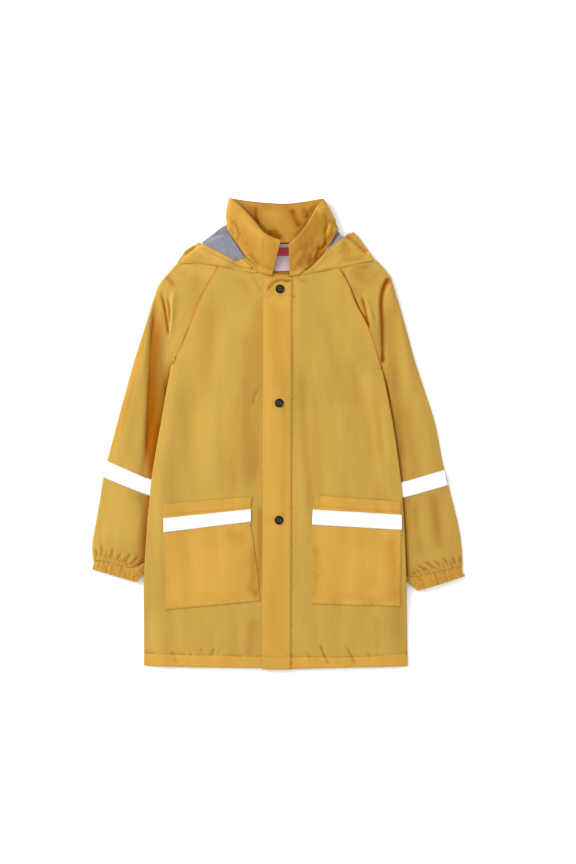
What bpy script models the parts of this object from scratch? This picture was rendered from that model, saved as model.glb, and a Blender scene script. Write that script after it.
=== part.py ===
"""A child's raincoat with a hood, laid flat on its back with its front up.

Frame: +X is the wearer's left, +Y runs from the hem to the collar, +Z is up from the surface
that the coat lies on.  Left and right in the names are the wearer's.  The sizes and tables are
in millimetres; build_mesh() turns them into metres.
"""

import math

import bmesh
import bpy
from mathutils import Vector

MM = 0.001

# ---------------------------------------------------------------- driving dimensions
CLOTH = 1.2  # wall of one layer of coated cloth
DOUBLE = 1.8  # wall of two layers stitched together: collar, placket, pockets, hood sides
TAPE = 1.0  # wall of the reflective tape, the label and the knitted lining
SEAM = 0.6  # clear gap between pieces that meet edge to edge
LIFT = 0.5  # clear gap between a piece and what it lies on
NECK_LIFT = 1.0  # the same for the collar and the hood sides, over the lining's own sections
FULLNESS = 1.2  # extra air between the front and the back, away from the closed edges
EDGE_EASE = 15.0  # how far from a closed edge the air takes to open
FOLD_HEIGHT = 2 * CLOTH + LIFT  # height of a flattened tube at its folded edge
HOOD_THICK = 3.0  # the folded hood under the back of the neck
HOOD_MARGIN = 26.0  # how far past the hood's edge the cloth stays up
HOOD_RUNOUT = 36.0  # and how far it then takes to come down to the surface
TUCK_HEIGHT = 5.0  # the body's side edges lie this high, on the sleeves tucked below them
TUCK_FLAT = 11.0  # width of body edge that lies on the sleeve
TUCK_RUNOUT = 26.0  # how far it takes to come down from there
TUCK_TOP = (92.0, 48.0)  # along Y: where the tuck starts below the underarm, and is full
TUCK_END = (-275.0, -232.0)  # along Y: where the tuck has ended past the cuff, and is full
SLEEVE_CROWN = 1.8  # how much rounder the sleeve is at its middle
SNAP_RADIUS = 6.5
SNAP_HEIGHT = 2.4
SNAP_BEVEL = 0.8
SNAP_SIDES = 24
PLACKET_LEFT = (-21.5, -24.0)  # free edge of the placket along X, at its top and at the hem
PLACKET_RIGHT = (21.5, 19.5)  # stitched edge of the placket along X, at its top and at the hem
PLACKET_TOP = 234.0
PLACKET_LIFT = 0.7  # clear gap below the placket, whose sections are its own
PLACKET_ROWS = 22
CENTRE_EDGE = 17.0  # where the under front ends, below the placket
HEM_Y = -353.0  # the placket's lowest edge
BESIDE = -0.9  # tuck of a sleeve that lies just beside the body's edge, clear of it

# ---------------------------------------------------------------- tables, in millimetres
# One row for each section of a front, from the neckline down to the hem:
# side_x, side_y: the outer end, on the raglan seam and then on the side seam;
# centre_y: the inner end; bow: how strongly the section curves round the neck (1 is straight).
RIGHT_FRONT_ROWS = (
    # side_x, side_y, centre_y, bow
    (-67.0, 288.0, 240.0, 2.8),
    (-79.0, 269.5, 223.0, 2.0),
    (-91.0, 249.0, 205.0, 1.5),
    (-103.5, 227.0, 185.0, 1.2),
    (-115.0, 206.0, 163.0, 1.0),
    (-130.0, 169.5, 136.0, 1.0),
    (-147.5, 126.0, 104.0, 1.0),
    (-159.0, 104.0, 74.0, 1.0),
    (-168.0, 58.5, 40.0, 1.0),
    (-174.0, 21.0, 7.0, 1.0),
    (-181.5, -21.0, -27.0, 1.0),
    (-189.0, -67.5, -58.0, 1.0),
    (-192.8, -107.0, -89.0, 1.0),
    (-195.0, -128.5, -106.5, 1.0),
    (-196.5, -150.5, -124.5, 1.0),
    (-198.5, -180.0, -157.0, 1.0),
    (-200.0, -210.0, -189.0, 1.0),
    (-200.5, -239.0, -218.0, 1.0),
    (-200.5, -267.0, -246.5, 1.0),
    (-200.5, -297.0, -285.0, 1.0),
    (-200.5, -329.0, -333.0, 1.0),
    (-200.5, -347.0, -351.0, 1.0),
)
LEFT_FRONT_ROWS = (
    (74.0, 278.5, 240.0, 2.6),
    (83.0, 263.0, 223.0, 2.0),
    (92.5, 247.0, 205.0, 1.5),
    (105.5, 224.5, 185.0, 1.2),
    (116.0, 197.0, 163.0, 1.0),
    (135.5, 159.0, 136.0, 1.0),
    (149.0, 119.0, 104.0, 1.0),
    (156.0, 95.5, 74.0, 1.0),
    (164.0, 58.5, 40.0, 1.0),
    (171.0, 21.0, 7.0, 1.0),
    (178.0, -24.0, -27.0, 1.0),
    (184.0, -71.0, -58.0, 1.0),
    (186.6, -101.5, -89.0, 1.0),
    (188.0, -121.0, -111.0, 1.0),
    (189.3, -144.0, -134.0, 1.0),
    (190.5, -174.0, -165.0, 1.0),
    (191.6, -205.0, -197.0, 1.0),
    (192.0, -232.0, -226.0, 1.0),
    (192.3, -259.0, -254.0, 1.0),
    (193.0, -293.0, -292.0, 1.0),
    (193.6, -329.0, -333.0, 1.0),
    (194.0, -347.5, -352.0, 1.0),
)
UNDERARM_ROW = 7
POCKET_ROWS = (12, 18)  # the sections at a pocket's mouth and at its bottom
TAPE_ROWS = (13, 14)  # the sections at the upper and lower edge of a pocket's tape
# The side edges of the pockets along X, for each section from the mouth to the bottom.
RIGHT_POCKET_EDGES = (
    # outer, inner
    (-163.5, -38.0),
    (-171.5, -40.5),
    (-171.5, -40.5),
    (-171.0, -36.0),
    (-170.0, -32.0),
    (-169.5, -28.5),
    (-169.0, -26.0),
)
LEFT_POCKET_EDGES = (
    (184.5, 57.5),
    (185.5, 52.0),
    (185.5, 51.0),
    (185.0, 51.0),
    (184.5, 51.0),
    (184.0, 51.0),
    (184.0, 51.0),
)
# How many cells of a front lie between its side, the pocket's edges and its centre edge.
FRONT_CELLS = (2, 7, 3)
BACK_COLUMNS = (0, 1, 2, 3, 4, 6, 9)  # the columns of each front that the back panel shares
BACK_NECK_ROWS = 4  # above this section the back's sections run straight across

# The snaps, from the collar down.
SNAP_PLACES = (
    # x, y
    (3.0, 217.0),
    (1.8, 46.5),
    (1.5, -129.0),
)

# One row for each section of a sleeve, from the armhole down to the cuff's seam:
# outer_x, outer_y: on the shoulder and the outer fold; inner_y: on the underarm fold;
# tuck: how far the underarm fold lies under the body's side edge.
RIGHT_SLEEVE_ROWS = (
    # outer_x, outer_y, inner_y, tuck
    (-68.0, 288.5, 104.5, BESIDE),
    (-82.0, 298.0, 95.0, 1.5 * BESIDE),
    (-104.0, 289.0, 88.0, BESIDE),
    (-131.0, 271.0, 82.0, BESIDE),
    (-147.5, 252.0, 77.0, BESIDE),
    (-167.0, 234.5, 72.0, BESIDE),
    (-179.5, 222.0, 66.0, BESIDE),
    (-190.5, 189.0, 58.0, 0.0),
    (-199.0, 161.0, 43.0, 3.5),
    (-215.0, 111.0, 18.0, 7.0),
    (-228.0, 64.5, -10.0, 8.0),
    (-239.7, 21.0, -38.0, 8.0),
    (-256.0, -40.5, -73.0, 8.0),
    (-261.6, -65.0, -97.0, 8.0),
    (-267.0, -99.0, -125.0, 8.0),
    (-273.0, -133.5, -152.0, 8.0),
    (-278.5, -170.0, -173.0, 8.0),
    (-277.0, -189.0, -189.0, 8.0),
)
LEFT_SLEEVE_ROWS = (
    (75.0, 279.5, 96.0, BESIDE),
    (91.0, 297.0, 87.0, BESIDE),
    (108.5, 289.0, 80.5, BESIDE),
    (130.0, 268.0, 75.0, BESIDE),
    (143.0, 254.5, 70.0, BESIDE),
    (157.5, 248.0, 64.5, BESIDE),
    (168.5, 234.5, 58.5, BESIDE),
    (180.0, 198.0, 51.0, 0.0),
    (191.0, 160.0, 36.0, 3.5),
    (204.3, 111.0, 10.0, 7.0),
    (219.0, 66.0, -18.0, 8.0),
    (233.7, 21.0, -43.0, 8.0),
    (249.0, -53.6, -75.5, 8.0),
    (255.2, -77.0, -98.5, 8.0),
    (262.0, -104.0, -128.0, 8.0),
    (268.5, -130.0, -155.0, 8.0),
    (274.5, -165.0, -180.0, 8.0),
    (276.6, -199.0, -202.0, 8.0),
)
SLEEVE_SPLIT = 35.0  # a stretch of the raglan seam longer than this gets a point halfway
SLEEVE_BOW_ROWS = 8  # over how many sections the curve of the raglan seam fades out
UNDERARM_SWING = 0.35  # how quickly a section near the underarm turns away from the side edge
SWING_ROWS = 7  # over how many sections that fades out
SLEEVE_TAPE_ROWS = (12, 13)
# The gathered cuffs: the lower edge's outer_x, outer_y, inner_y, and how far each edge sags.
RIGHT_CUFF = {"outer_x": -280.8, "outer_y": -202.0, "inner_y": -206.5, "sag": (12.0, 16.0)}
LEFT_CUFF = {"outer_x": 280.8, "outer_y": -213.5, "inner_y": -219.0, "sag": (3.0, 18.0)}
CUFF_SKEW = 1.8  # the sag lies nearer the inner fold
CUFF_ROWS = 3
CUFF_GATHER = 0.5  # height of the gathers
CUFF_SQUEEZE = 0.06  # how much narrower the elastic pulls the middle of the cuff

# The outline of the folded hood, clockwise from the wearer's right shoulder.
HOOD_OUTLINE = (
    # x, y
    (-151.5, 253.0),
    (-137.0, 274.5),
    (-117.0, 286.5),
    (-79.0, 315.5),
    (-50.0, 322.0),
    (0.0, 325.0),
    (55.0, 318.0),
    (89.5, 305.5),
    (101.5, 297.5),
    (114.0, 301.0),
    (134.0, 272.5),
    (143.5, 259.0),
    (138.0, 215.0),
    (112.0, 155.0),
    (62.0, 112.0),
    (0.0, 98.0),
    (-62.0, 112.0),
    (-114.0, 155.0),
    (-144.0, 215.0),
)
# The edge of the coat under the collar and the hood, from the right shoulder to the left one.
NECK_REGION = (
    # x, y
    (-147.5, 252.0),
    (-131.0, 271.0),
    (-104.0, 289.0),
    (-82.0, 298.0),
    (-67.0, 288.0),
    (-56.0, 265.0),
    (-30.0, 244.0),
    (17.0, 240.0),
    (45.0, 247.0),
    (65.0, 266.0),
    (74.0, 279.0),
    (91.0, 297.0),
    (108.5, 289.0),
    (130.0, 268.0),
    (142.0, 254.5),
    (142.0, 150.0),
    (-147.5, 150.0),
)
# One row for each section of the hood's knitted lining: its edge at the neck and its outer edge.
LINING_ROWS = (
    # inner_x, inner_y, outer_x, outer_y
    (-53.0, 263.5, -70.0, 257.5),
    (-57.5, 271.0, -88.0, 266.0),
    (-63.5, 280.5, -107.0, 277.0),
    (-68.5, 288.5, -114.0, 287.5),
    (-73.0, 295.5, -96.5, 300.5),
    (-66.0, 298.5, -83.0, 310.5),
    (-58.0, 298.0, -68.0, 316.5),
    (-44.0, 294.5, -48.0, 320.0),
    (-22.0, 292.0, -24.0, 322.5),
    (0.0, 291.0, 0.0, 323.0),
    (38.0, 293.0, 42.0, 318.5),
    (54.0, 295.0, 60.0, 315.0),
    (63.0, 296.5, 70.0, 312.0),
    (71.0, 298.0, 80.0, 308.0),
    (78.5, 298.0, 89.5, 304.0),
    (85.0, 291.5, 96.0, 294.0),
    (81.0, 284.0, 99.0, 281.0),
    (76.5, 278.0, 92.0, 272.0),
)
LINING_CELLS = 4
# The hood's yellow facing next to the lining, on the wearer's right.
FACING_ROWS = (
    (-52.3, 262.6, -69.5, 256.6),
    (-45.5, 256.0, -56.0, 250.6),
    (-38.0, 249.5, -46.0, 247.0),
)
# One row for each section of a hood side, from its roll at the shoulder to its tip at the neck:
# the lower fold and the upper, hemmed edge.  The first section is bowed outwards.
RIGHT_HOOD_ROWS = (
    # lower_x, lower_y, upper_x, upper_y
    (-153.0, 254.0, -117.5, 287.5),
    (-150.5, 254.0, -115.5, 286.0),
    (-147.5, 254.2, -112.5, 284.5),
    (-133.0, 254.8, -100.0, 278.5),
    (-112.0, 254.0, -86.0, 271.0),
    (-91.0, 251.5, -71.5, 263.0),
    (-72.0, 247.5, -57.0, 255.5),
    (-50.0, 243.0, -42.0, 248.6),
    (-33.0, 240.5, -30.5, 243.3),
)
LEFT_HOOD_ROWS = (
    (146.0, 259.5, 103.0, 299.5),
    (143.5, 259.3, 101.8, 297.6),
    (140.0, 258.8, 100.0, 295.4),
    (128.0, 256.8, 92.5, 290.0),
    (112.0, 253.5, 83.5, 283.0),
    (95.0, 249.0, 73.0, 273.5),
    (78.0, 246.0, 62.0, 263.0),
    (58.0, 242.0, 48.5, 250.5),
    (38.0, 238.0, 36.0, 240.0),
)
RIGHT_HOOD_BOW = ((-138.0, 276.0),)  # corners of the first section between its two ends
LEFT_HOOD_BOW = ((135.5, 274.5), (115.0, 303.5))
HOOD_CELLS = 6
HOOD_BOW_ROWS = 4

# One row for each section of the collar, from its front end on the wearer's right round the
# back of the neck to its other end: the neck seam, the free edge, and whether the section is
# in the back layer (0), the front layer (1) or the fold between them.
COLLAR_ROWS = (
    # seam_x, seam_y, edge_x, edge_y, layer
    (-9.0, 237.5, 4.5, 289.0, 1.0),
    (-24.0, 240.5, -8.0, 293.5, 1.0),
    (-36.0, 252.5, -21.0, 300.5, 1.0),
    (-48.0, 265.5, -35.5, 318.0, 1.0),
    (-62.0, 285.0, -53.0, 337.0, 1.0),
    (-70.0, 297.0, -65.0, 348.0, 1.0),
    (-75.0, 304.5, -71.0, 352.3, 0.82),
    (-76.5, 307.0, -72.6, 353.0, 0.5),
    (-74.0, 303.5, -70.5, 352.7, 0.18),
    (-64.0, 296.0, -62.0, 351.5, 0.0),
    (-45.0, 289.5, -40.0, 348.5, 0.0),
    (-22.0, 286.5, -14.0, 346.0, 0.0),
    (3.0, 286.0, 12.0, 345.0, 0.0),
    (28.0, 287.0, 33.0, 347.0, 0.0),
    (55.0, 291.5, 52.0, 350.0, 0.0),
    (76.0, 299.0, 66.0, 351.5, 0.0),
    (87.0, 305.5, 70.5, 350.5, 0.18),
    (90.0, 307.0, 72.5, 349.0, 0.5),
    (88.0, 302.5, 71.0, 348.0, 0.82),
    (81.0, 289.0, 64.5, 345.0, 1.0),
    (74.0, 278.5, 54.0, 331.0, 1.0),
    (60.0, 264.0, 44.0, 313.5, 1.0),
    (46.0, 250.0, 32.0, 297.5, 1.0),
    (32.0, 238.5, 23.0, 288.0, 1.0),
    (17.5, 236.0, 16.0, 283.5, 1.0),
)
COLLAR_CELLS = 4
COLLAR_MID_BOW = 3.0  # how far the folded ends of the collar swell outwards at mid height
COLLAR_BASE_GAP = 0.7  # clear space between the collar's layers at the seam
COLLAR_EDGE_GAP = 6.5  # and at the free edge
LABEL = {"x": (-9.0, 19.0), "y": (244.0, 284.0)}

# The largest folds of the front and the sleeves, as straight ridges and troughs.
FOLDS = (
    # from_x, from_y, to_x, to_y, height, half_width
    (-178.0, 214.0, -191.0, 112.0, -1.1, 9.0),
    (-191.0, 112.0, -196.0, -40.0, -1.0, 12.0),
    (-163.0, 215.0, -166.0, 132.0, 1.6, 10.0),
    (-202.0, 150.0, -236.0, -20.0, 1.4, 14.0),
    (127.0, 212.0, 139.0, 150.0, 1.5, 10.0),
    (157.0, 212.0, 159.0, 112.0, -1.1, 8.0),
    (176.0, 190.0, 205.0, 60.0, 1.5, 13.0),
    (205.0, 40.0, 240.0, -110.0, 1.4, 15.0),
    (-70.0, 190.0, -60.0, 40.0, 1.0, 22.0),
    (75.0, 170.0, 95.0, 20.0, 1.1, 20.0),
    (-130.0, 40.0, -140.0, -60.0, 0.9, 18.0),
    (130.0, 60.0, 120.0, -40.0, 0.8, 18.0),
)
FOLD_TAPER = 0.25  # share of a fold's length over which each end fades

YELLOW = (0.66, 0.40, 0.09, 1.0)
DEEP_YELLOW = (0.70, 0.38, 0.08, 1.0)
GREY = (0.34, 0.34, 0.38, 1.0)
WHITE = (0.85, 0.85, 0.85, 1.0)
GUNMETAL = (0.04, 0.04, 0.035, 1.0)


# ---------------------------------------------------------------- small geometry helpers
def ease(start, end, value):
    """0 before start, 1 after end, and a smooth step between them."""
    t = max(0.0, min(1.0, (value - start) / (end - start)))
    return t * t * (3 - 2 * t)


def mix(a, b, t):
    return a + (b - a) * t


def point_on(points, t):
    """The point at the share t of a polyline's length."""
    points = [Vector(p[:2]) for p in points]
    lengths = [(b - a).length for a, b in zip(points, points[1:])]
    left = t * sum(lengths)
    for a, b, length in zip(points, points[1:], lengths):
        if left <= length:
            return a.lerp(b, left / length)
        left -= length
    return points[-1]


def from_segment(x, y, ax, ay, bx, by):
    """The distance of a point from a segment, and the share of the segment where it is nearest."""
    dx, dy = bx - ax, by - ay
    t = ((x - ax) * dx + (y - ay) * dy) / (dx * dx + dy * dy)
    t = max(0.0, min(1.0, t))
    return math.hypot(x - ax - t * dx, y - ay - t * dy), t


def outside(outline, x, y):
    """How far a point is outside a closed outline, 0 inside it."""
    inside, nearest = False, math.inf
    for (ax, ay), (bx, by) in zip(outline, outline[1:] + outline[:1]):
        nearest = min(nearest, from_segment(x, y, ax, ay, bx, by)[0])
        if (ay > y) != (by > y) and x < (bx - ax) * (y - ay) / (by - ay) + ax:
            inside = not inside
    return 0.0 if inside else nearest


def side_edge(rows, y):
    """The place along X of the body's side edge at a height y, below the underarm."""
    edge = rows[UNDERARM_ROW:]
    for upper, lower in zip(edge, edge[1:]):
        if y >= lower[1]:
            return mix(lower[0], upper[0], (y - lower[1]) / (upper[1] - lower[1]))
    return edge[-1][0]


def from_side(x, y):
    """How far a point of the body is from its nearer closed side edge."""
    rows = RIGHT_FRONT_ROWS if x < 0 else LEFT_FRONT_ROWS
    underarm_x, underarm_y = rows[UNDERARM_ROW][:2]
    if y < underarm_y:
        return abs(x - side_edge(rows, y))
    return math.hypot(x - underarm_x, y - underarm_y)


# ---------------------------------------------------------------- how high each layer lies
def under(x, y):
    """The lowest surface that the coat's cloth lies on: the folded hood, then the floor."""
    past = outside(HOOD_OUTLINE, x, y) - HOOD_MARGIN
    return (HOOD_THICK + LIFT) * (1 - ease(0, HOOD_RUNOUT, past))


def tuck(x, y):
    """How much the body's side edges are lifted by the sleeves that are tucked below them."""
    along = 1 - ease(TUCK_TOP[1], TUCK_TOP[0], y)
    along *= ease(TUCK_END[0], TUCK_END[1], y)
    return TUCK_HEIGHT * along * (1 - ease(TUCK_FLAT, TUCK_FLAT + TUCK_RUNOUT, from_side(x, y)))


def folds(x, y):
    """The ridges and troughs of the upper layer."""
    total = 0.0
    for ax, ay, bx, by, height, half_width in FOLDS:
        distance, t = from_segment(x, y, ax, ay, bx, by)
        fade = ease(0, FOLD_TAPER, t) * ease(0, FOLD_TAPER, 1 - t)
        total += height * fade * math.exp(-((distance / half_width) ** 2))
    return total


def back_level(x, y):
    """The underside of the back panel."""
    return under(x, y) + tuck(x, y)


def front_level(x, y):
    """The underside of the fronts."""
    opened = ease(0, EDGE_EASE, from_side(x, y))
    air = LIFT + FULLNESS * opened
    return back_level(x, y) + CLOTH + air + folds(x, y) * opened


def front_top(x, y):
    return front_level(x, y) + CLOTH


def cover(x, y):
    """What the hood's upper layers lie on: the coat round the neck, and the hood beyond it."""
    coat = under(x, y) + 2 * CLOTH + LIFT + FULLNESS
    return mix(under(x, y) - LIFT, coat, 1 - ease(1, 14, outside(NECK_REGION, x, y)))


# ---------------------------------------------------------------- making meshes
def material(name, colour, roughness, metallic=0.0):
    made = bpy.data.materials.new(name)
    made.use_nodes = True
    shader = made.node_tree.nodes["Principled BSDF"]
    shader.inputs["Base Color"].default_value = colour
    shader.inputs["Roughness"].default_value = roughness
    shader.inputs["Metallic"].default_value = metallic
    return made


def build_mesh(name, bm, colour, roughness=0.5, metallic=0.0):
    """Finish a bmesh that is in millimetres as a named object of the coat."""
    bmesh.ops.scale(bm, vec=(MM, MM, MM), verts=bm.verts)
    if all(len(e.link_faces) == 2 for e in bm.edges):
        bmesh.ops.recalc_face_normals(bm, faces=bm.faces)
    mesh = bpy.data.meshes.new(name)
    bm.to_mesh(mesh)
    bm.free()
    mesh.materials.append(material(name, colour, roughness, metallic))
    made = bpy.data.objects.new(name, mesh)
    coat.objects.link(made)
    return made


def sheet_of(bm, grid):
    """The open surface through a grid of points, row by row.

    Every cell is split along the same diagonal, so panels that share their points in plan keep
    their distance from each other everywhere.
    """
    verts = [[bm.verts.new(p) for p in row] for row in grid]
    faces = []
    for row, following in zip(verts, verts[1:]):
        for a, b, c, d in zip(row, row[1:], following[1:], following):
            faces.append(bm.faces.new((a, b, c)))
            faces.append(bm.faces.new((a, c, d)))
    return faces


def panel(name, grid, thickness, colour):
    """A panel: the open surface of its underside, thickened straight up."""
    bm = bmesh.new()
    faces = sheet_of(bm, grid)
    raised = bmesh.ops.extrude_face_region(bm, geom=faces, use_keep_orig=True)
    verts = [g for g in raised["geom"] if isinstance(g, bmesh.types.BMVert)]
    bmesh.ops.translate(bm, verts=verts, vec=(0, 0, thickness))
    return build_mesh(name, bm, colour)


def add_face(bm, corners):
    """A face of four corners, split at a corner where it bends inwards in plan."""
    turns = []
    for k in range(4):
        a, b, c = (corners[(k + step) % 4].co.xy for step in (-1, 0, 1))
        turns.append((b - a).cross(c - b))
    bent = [k for k in range(4) if turns[k] * sum(turns) < 0]
    if not bent:
        bm.faces.new(corners)
        return
    a, b, c, d = (corners[(bent[0] + step) % 4] for step in range(4))
    bm.faces.new((a, b, c))
    bm.faces.new((a, c, d))


def tube(name, rings, colour):
    """A flattened tube: each ring is an (outer loop, inner loop) pair of equally many points."""
    bm = bmesh.new()
    loops = [[[bm.verts.new(p) for p in loop] for loop in ring] for ring in rings]
    for ring, following in zip(loops, loops[1:]):
        for here, there in zip(ring, following):
            for i in range(len(here)):
                j = (i + 1) % len(here)
                add_face(bm, (here[i], here[j], there[j], there[i]))
    for outer, inner in (loops[0], loops[-1]):
        for i in range(len(outer)):
            j = (i + 1) % len(outer)
            bm.faces.new((outer[i], outer[j], inner[j], inner[i]))
    return build_mesh(name, bm, colour)


# ---------------------------------------------------------------- the body
def front_grid(rows, pocket_edges):
    """The plan of a front: for each section, its points along +X."""
    centre = CENTRE_EDGE if rows is RIGHT_FRONT_ROWS else CENTRE_EDGE + SEAM
    first, last = POCKET_ROWS
    grid = []
    for number, (side_x, side_y, centre_y, bow) in enumerate(rows):
        outer, inner = pocket_edges[max(first, min(last, number)) - first]
        level = rows[max(first, min(last, number))][0]
        shares = [0.0]
        for end, cells in zip((outer, inner, centre), FRONT_CELLS):
            start, stop = shares[-1], (end - level) / (centre - level)
            shares += [mix(start, stop, (k + 1) / cells) for k in range(cells)]
        line = []
        for u in shares:
            y = mix(side_y, centre_y, 1 - (1 - u) ** bow)
            line.append((mix(side_x, centre, u), y))
        grid.append(line if rows is RIGHT_FRONT_ROWS else line[::-1])
    return grid


def raise_by(grid, level, extra=0.0):
    return [[Vector((x, y, level(x, y) + extra)) for x, y in row] for row in grid]


def make_body():
    right = front_grid(RIGHT_FRONT_ROWS, RIGHT_POCKET_EDGES)
    left = front_grid(LEFT_FRONT_ROWS, LEFT_POCKET_EDGES)
    panel("front_right", raise_by(right, front_level), CLOTH, YELLOW)
    panel("front_left", raise_by(left, front_level), CLOTH, YELLOW)

    back = []
    for number, (a, b) in enumerate(zip(right, left)):
        line = [a[k] for k in BACK_COLUMNS] + [a[-1]]
        line += [b[-1 - k] for k in reversed(BACK_COLUMNS)]
        if number < BACK_NECK_ROWS:
            (ax, ay), (bx, by) = line[0], line[-1]
            line = [(x, mix(ay, by, (x - ax) / (bx - ax))) for x, y in line]
        back.append(line)
    panel("back_panel", raise_by(back, back_level), CLOTH, YELLOW)

    outer, across, inner = FRONT_CELLS
    for side, grid, first in (("right", right, outer), ("left", left, inner)):
        cells = [row[first : first + across + 1] for row in grid]
        pocket = cells[POCKET_ROWS[0] : POCKET_ROWS[1] + 1]
        panel(f"pocket_{side}", raise_by(pocket, front_top, LIFT), DOUBLE, DEEP_YELLOW)
        band = cells[TAPE_ROWS[0] : TAPE_ROWS[1] + 1]
        level = LIFT + DOUBLE + LIFT
        panel(f"pocket_tape_{side}", raise_by(band, front_top, level), TAPE, WHITE)


def placket_edge(ends, y):
    return mix(ends[1], ends[0], (y - HEM_Y) / (PLACKET_TOP - HEM_Y))


def placket_level(y):
    """The placket is level from side to side, and clears the fronts at both its edges."""
    spots = (placket_edge(PLACKET_LEFT, y), 0.0, CENTRE_EDGE, placket_edge(PLACKET_RIGHT, y))
    return max(front_top(x, y) for x in spots) + PLACKET_LIFT


def make_placket():
    grid = []
    for k in range(PLACKET_ROWS + 1):
        y = mix(PLACKET_TOP, HEM_Y, k / PLACKET_ROWS)
        left, right = placket_edge(PLACKET_LEFT, y), placket_edge(PLACKET_RIGHT, y)
        grid.append([(mix(left, right, u / 3), y) for u in range(4)])
    level = raise_by(grid, lambda x, y: placket_level(y))
    panel("placket", level, DOUBLE, DEEP_YELLOW)
    for number, (x, y) in enumerate(SNAP_PLACES, 1):
        reach = (y - SNAP_RADIUS, y, y + SNAP_RADIUS)
        base = max(placket_level(at) for at in reach) + DOUBLE + LIFT
        bm = bmesh.new()
        bmesh.ops.create_cone(
            bm,
            cap_ends=True,
            segments=SNAP_SIDES,
            radius1=SNAP_RADIUS,
            radius2=SNAP_RADIUS,
            depth=SNAP_HEIGHT,
        )
        top = [e for e in bm.edges if all(v.co.z > 0 for v in e.verts)]
        bmesh.ops.bevel(bm, geom=top, offset=SNAP_BEVEL, segments=2, affect="EDGES")
        bmesh.ops.translate(bm, verts=bm.verts, vec=(x, y, base + SNAP_HEIGHT / 2))
        build_mesh(f"snap_{number}", bm, GUNMETAL, 0.35, 0.9)


# ---------------------------------------------------------------- sleeves and cuffs
def tube_ring(plan, crown, gather=0.0, insets=None):
    """A ring of a flattened tube whose upper layer rises by crown at its middle.

    The insets are the ways from its two folds into the tube, along the ring if none are given.
    """
    a, b = plan[0], plan[-1]
    width = (b - a).length
    along = (b - a).normalized()
    insets = insets or (along, -along)
    lower, upper, lower_in, upper_in = [], [], [], []
    for number, p in enumerate(plan):
        t = number / (len(plan) - 1)
        distance = min(t, 1 - t) * width
        opened = ease(0, EDGE_EASE, distance)
        floor = under(p.x, p.y)
        top = FOLD_HEIGHT + (FULLNESS + folds(p.x, p.y)) * opened
        top += crown * math.sin(math.pi * t)
        top += gather * (number % 2) * (0 < t < 1)
        lower.append(Vector((p.x, p.y, floor)))
        upper.append(Vector((p.x, p.y, floor + top)))
        q = p + CLOTH * (insets[0] if t == 0 else insets[1] if t == 1 else Vector((0, 0)))
        lower_in.append(Vector((q.x, q.y, floor + CLOTH)))
        upper_in.append(Vector((q.x, q.y, floor + top - CLOTH)))
    return lower + upper[::-1], lower_in + upper_in[::-1]


def sleeve_plan(rows, body_rows):
    """The plan of a sleeve: for each section, its points from the inner to the outer fold.

    The first section is the raglan seam, through the points of the body's own edge.
    """
    sign = -1 if body_rows is RIGHT_FRONT_ROWS else 1
    seam = [(x + sign * SEAM, y + SEAM) for x, y, *_ in body_rows[UNDERARM_ROW::-1]]
    lengths = [math.dist(a, b) for a, b in zip(seam, seam[1:])]
    shares, done = [0.0], 0.0
    for length in lengths:
        if length > SLEEVE_SPLIT:
            shares.append((done + length / 2) / sum(lengths))
        done += length
        shares.append(done / sum(lengths))
    plan = []
    for number, (outer_x, outer_y, inner_y, under_body) in enumerate(rows):
        inner = Vector((side_edge(body_rows, inner_y) - sign * under_body, inner_y))
        outer = Vector((outer_x, outer_y))
        if number == 0:
            inner, outer = Vector(seam[0]), Vector(seam[-1])
        fade = max(0.0, 1 - number / SLEEVE_BOW_ROWS)
        swing = mix(UNDERARM_SWING, 1, min(1.0, number / SWING_ROWS))
        turn = (outer - Vector(seam[-1])) - (inner - Vector(seam[0]))
        line = []
        for t in shares:
            bow = point_on(seam, t) - Vector(seam[0]).lerp(Vector(seam[-1]), t)
            line.append(inner.lerp(outer, t) + bow * fade + turn * (t**swing - t))
        plan.append(line)
    return plan


def fold_insets(plan, number, sign):
    """The ways into a sleeve at one section, square to its underarm fold and to its outer fold."""
    before, after = plan[max(0, number - 1)], plan[min(len(plan) - 1, number + 1)]
    into = (Vector((sign, 0)), plan[number][0] - plan[number][-1])
    insets = []
    for side, way in zip((0, -1), into):
        square = (after[side] - before[side]).orthogonal().normalized()
        insets.append(square if square.dot(way) > 0 else -square)
    return insets


def sagged(inner, outer, sag, shares):
    """A line from the inner to the outer fold that sags, most of all towards the inner one."""
    line = []
    for t in shares:
        drop = sag * math.sin(math.pi * (1 - t) ** CUFF_SKEW)
        line.append(inner.lerp(outer, t) - Vector((0, drop)))
    return line


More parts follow.
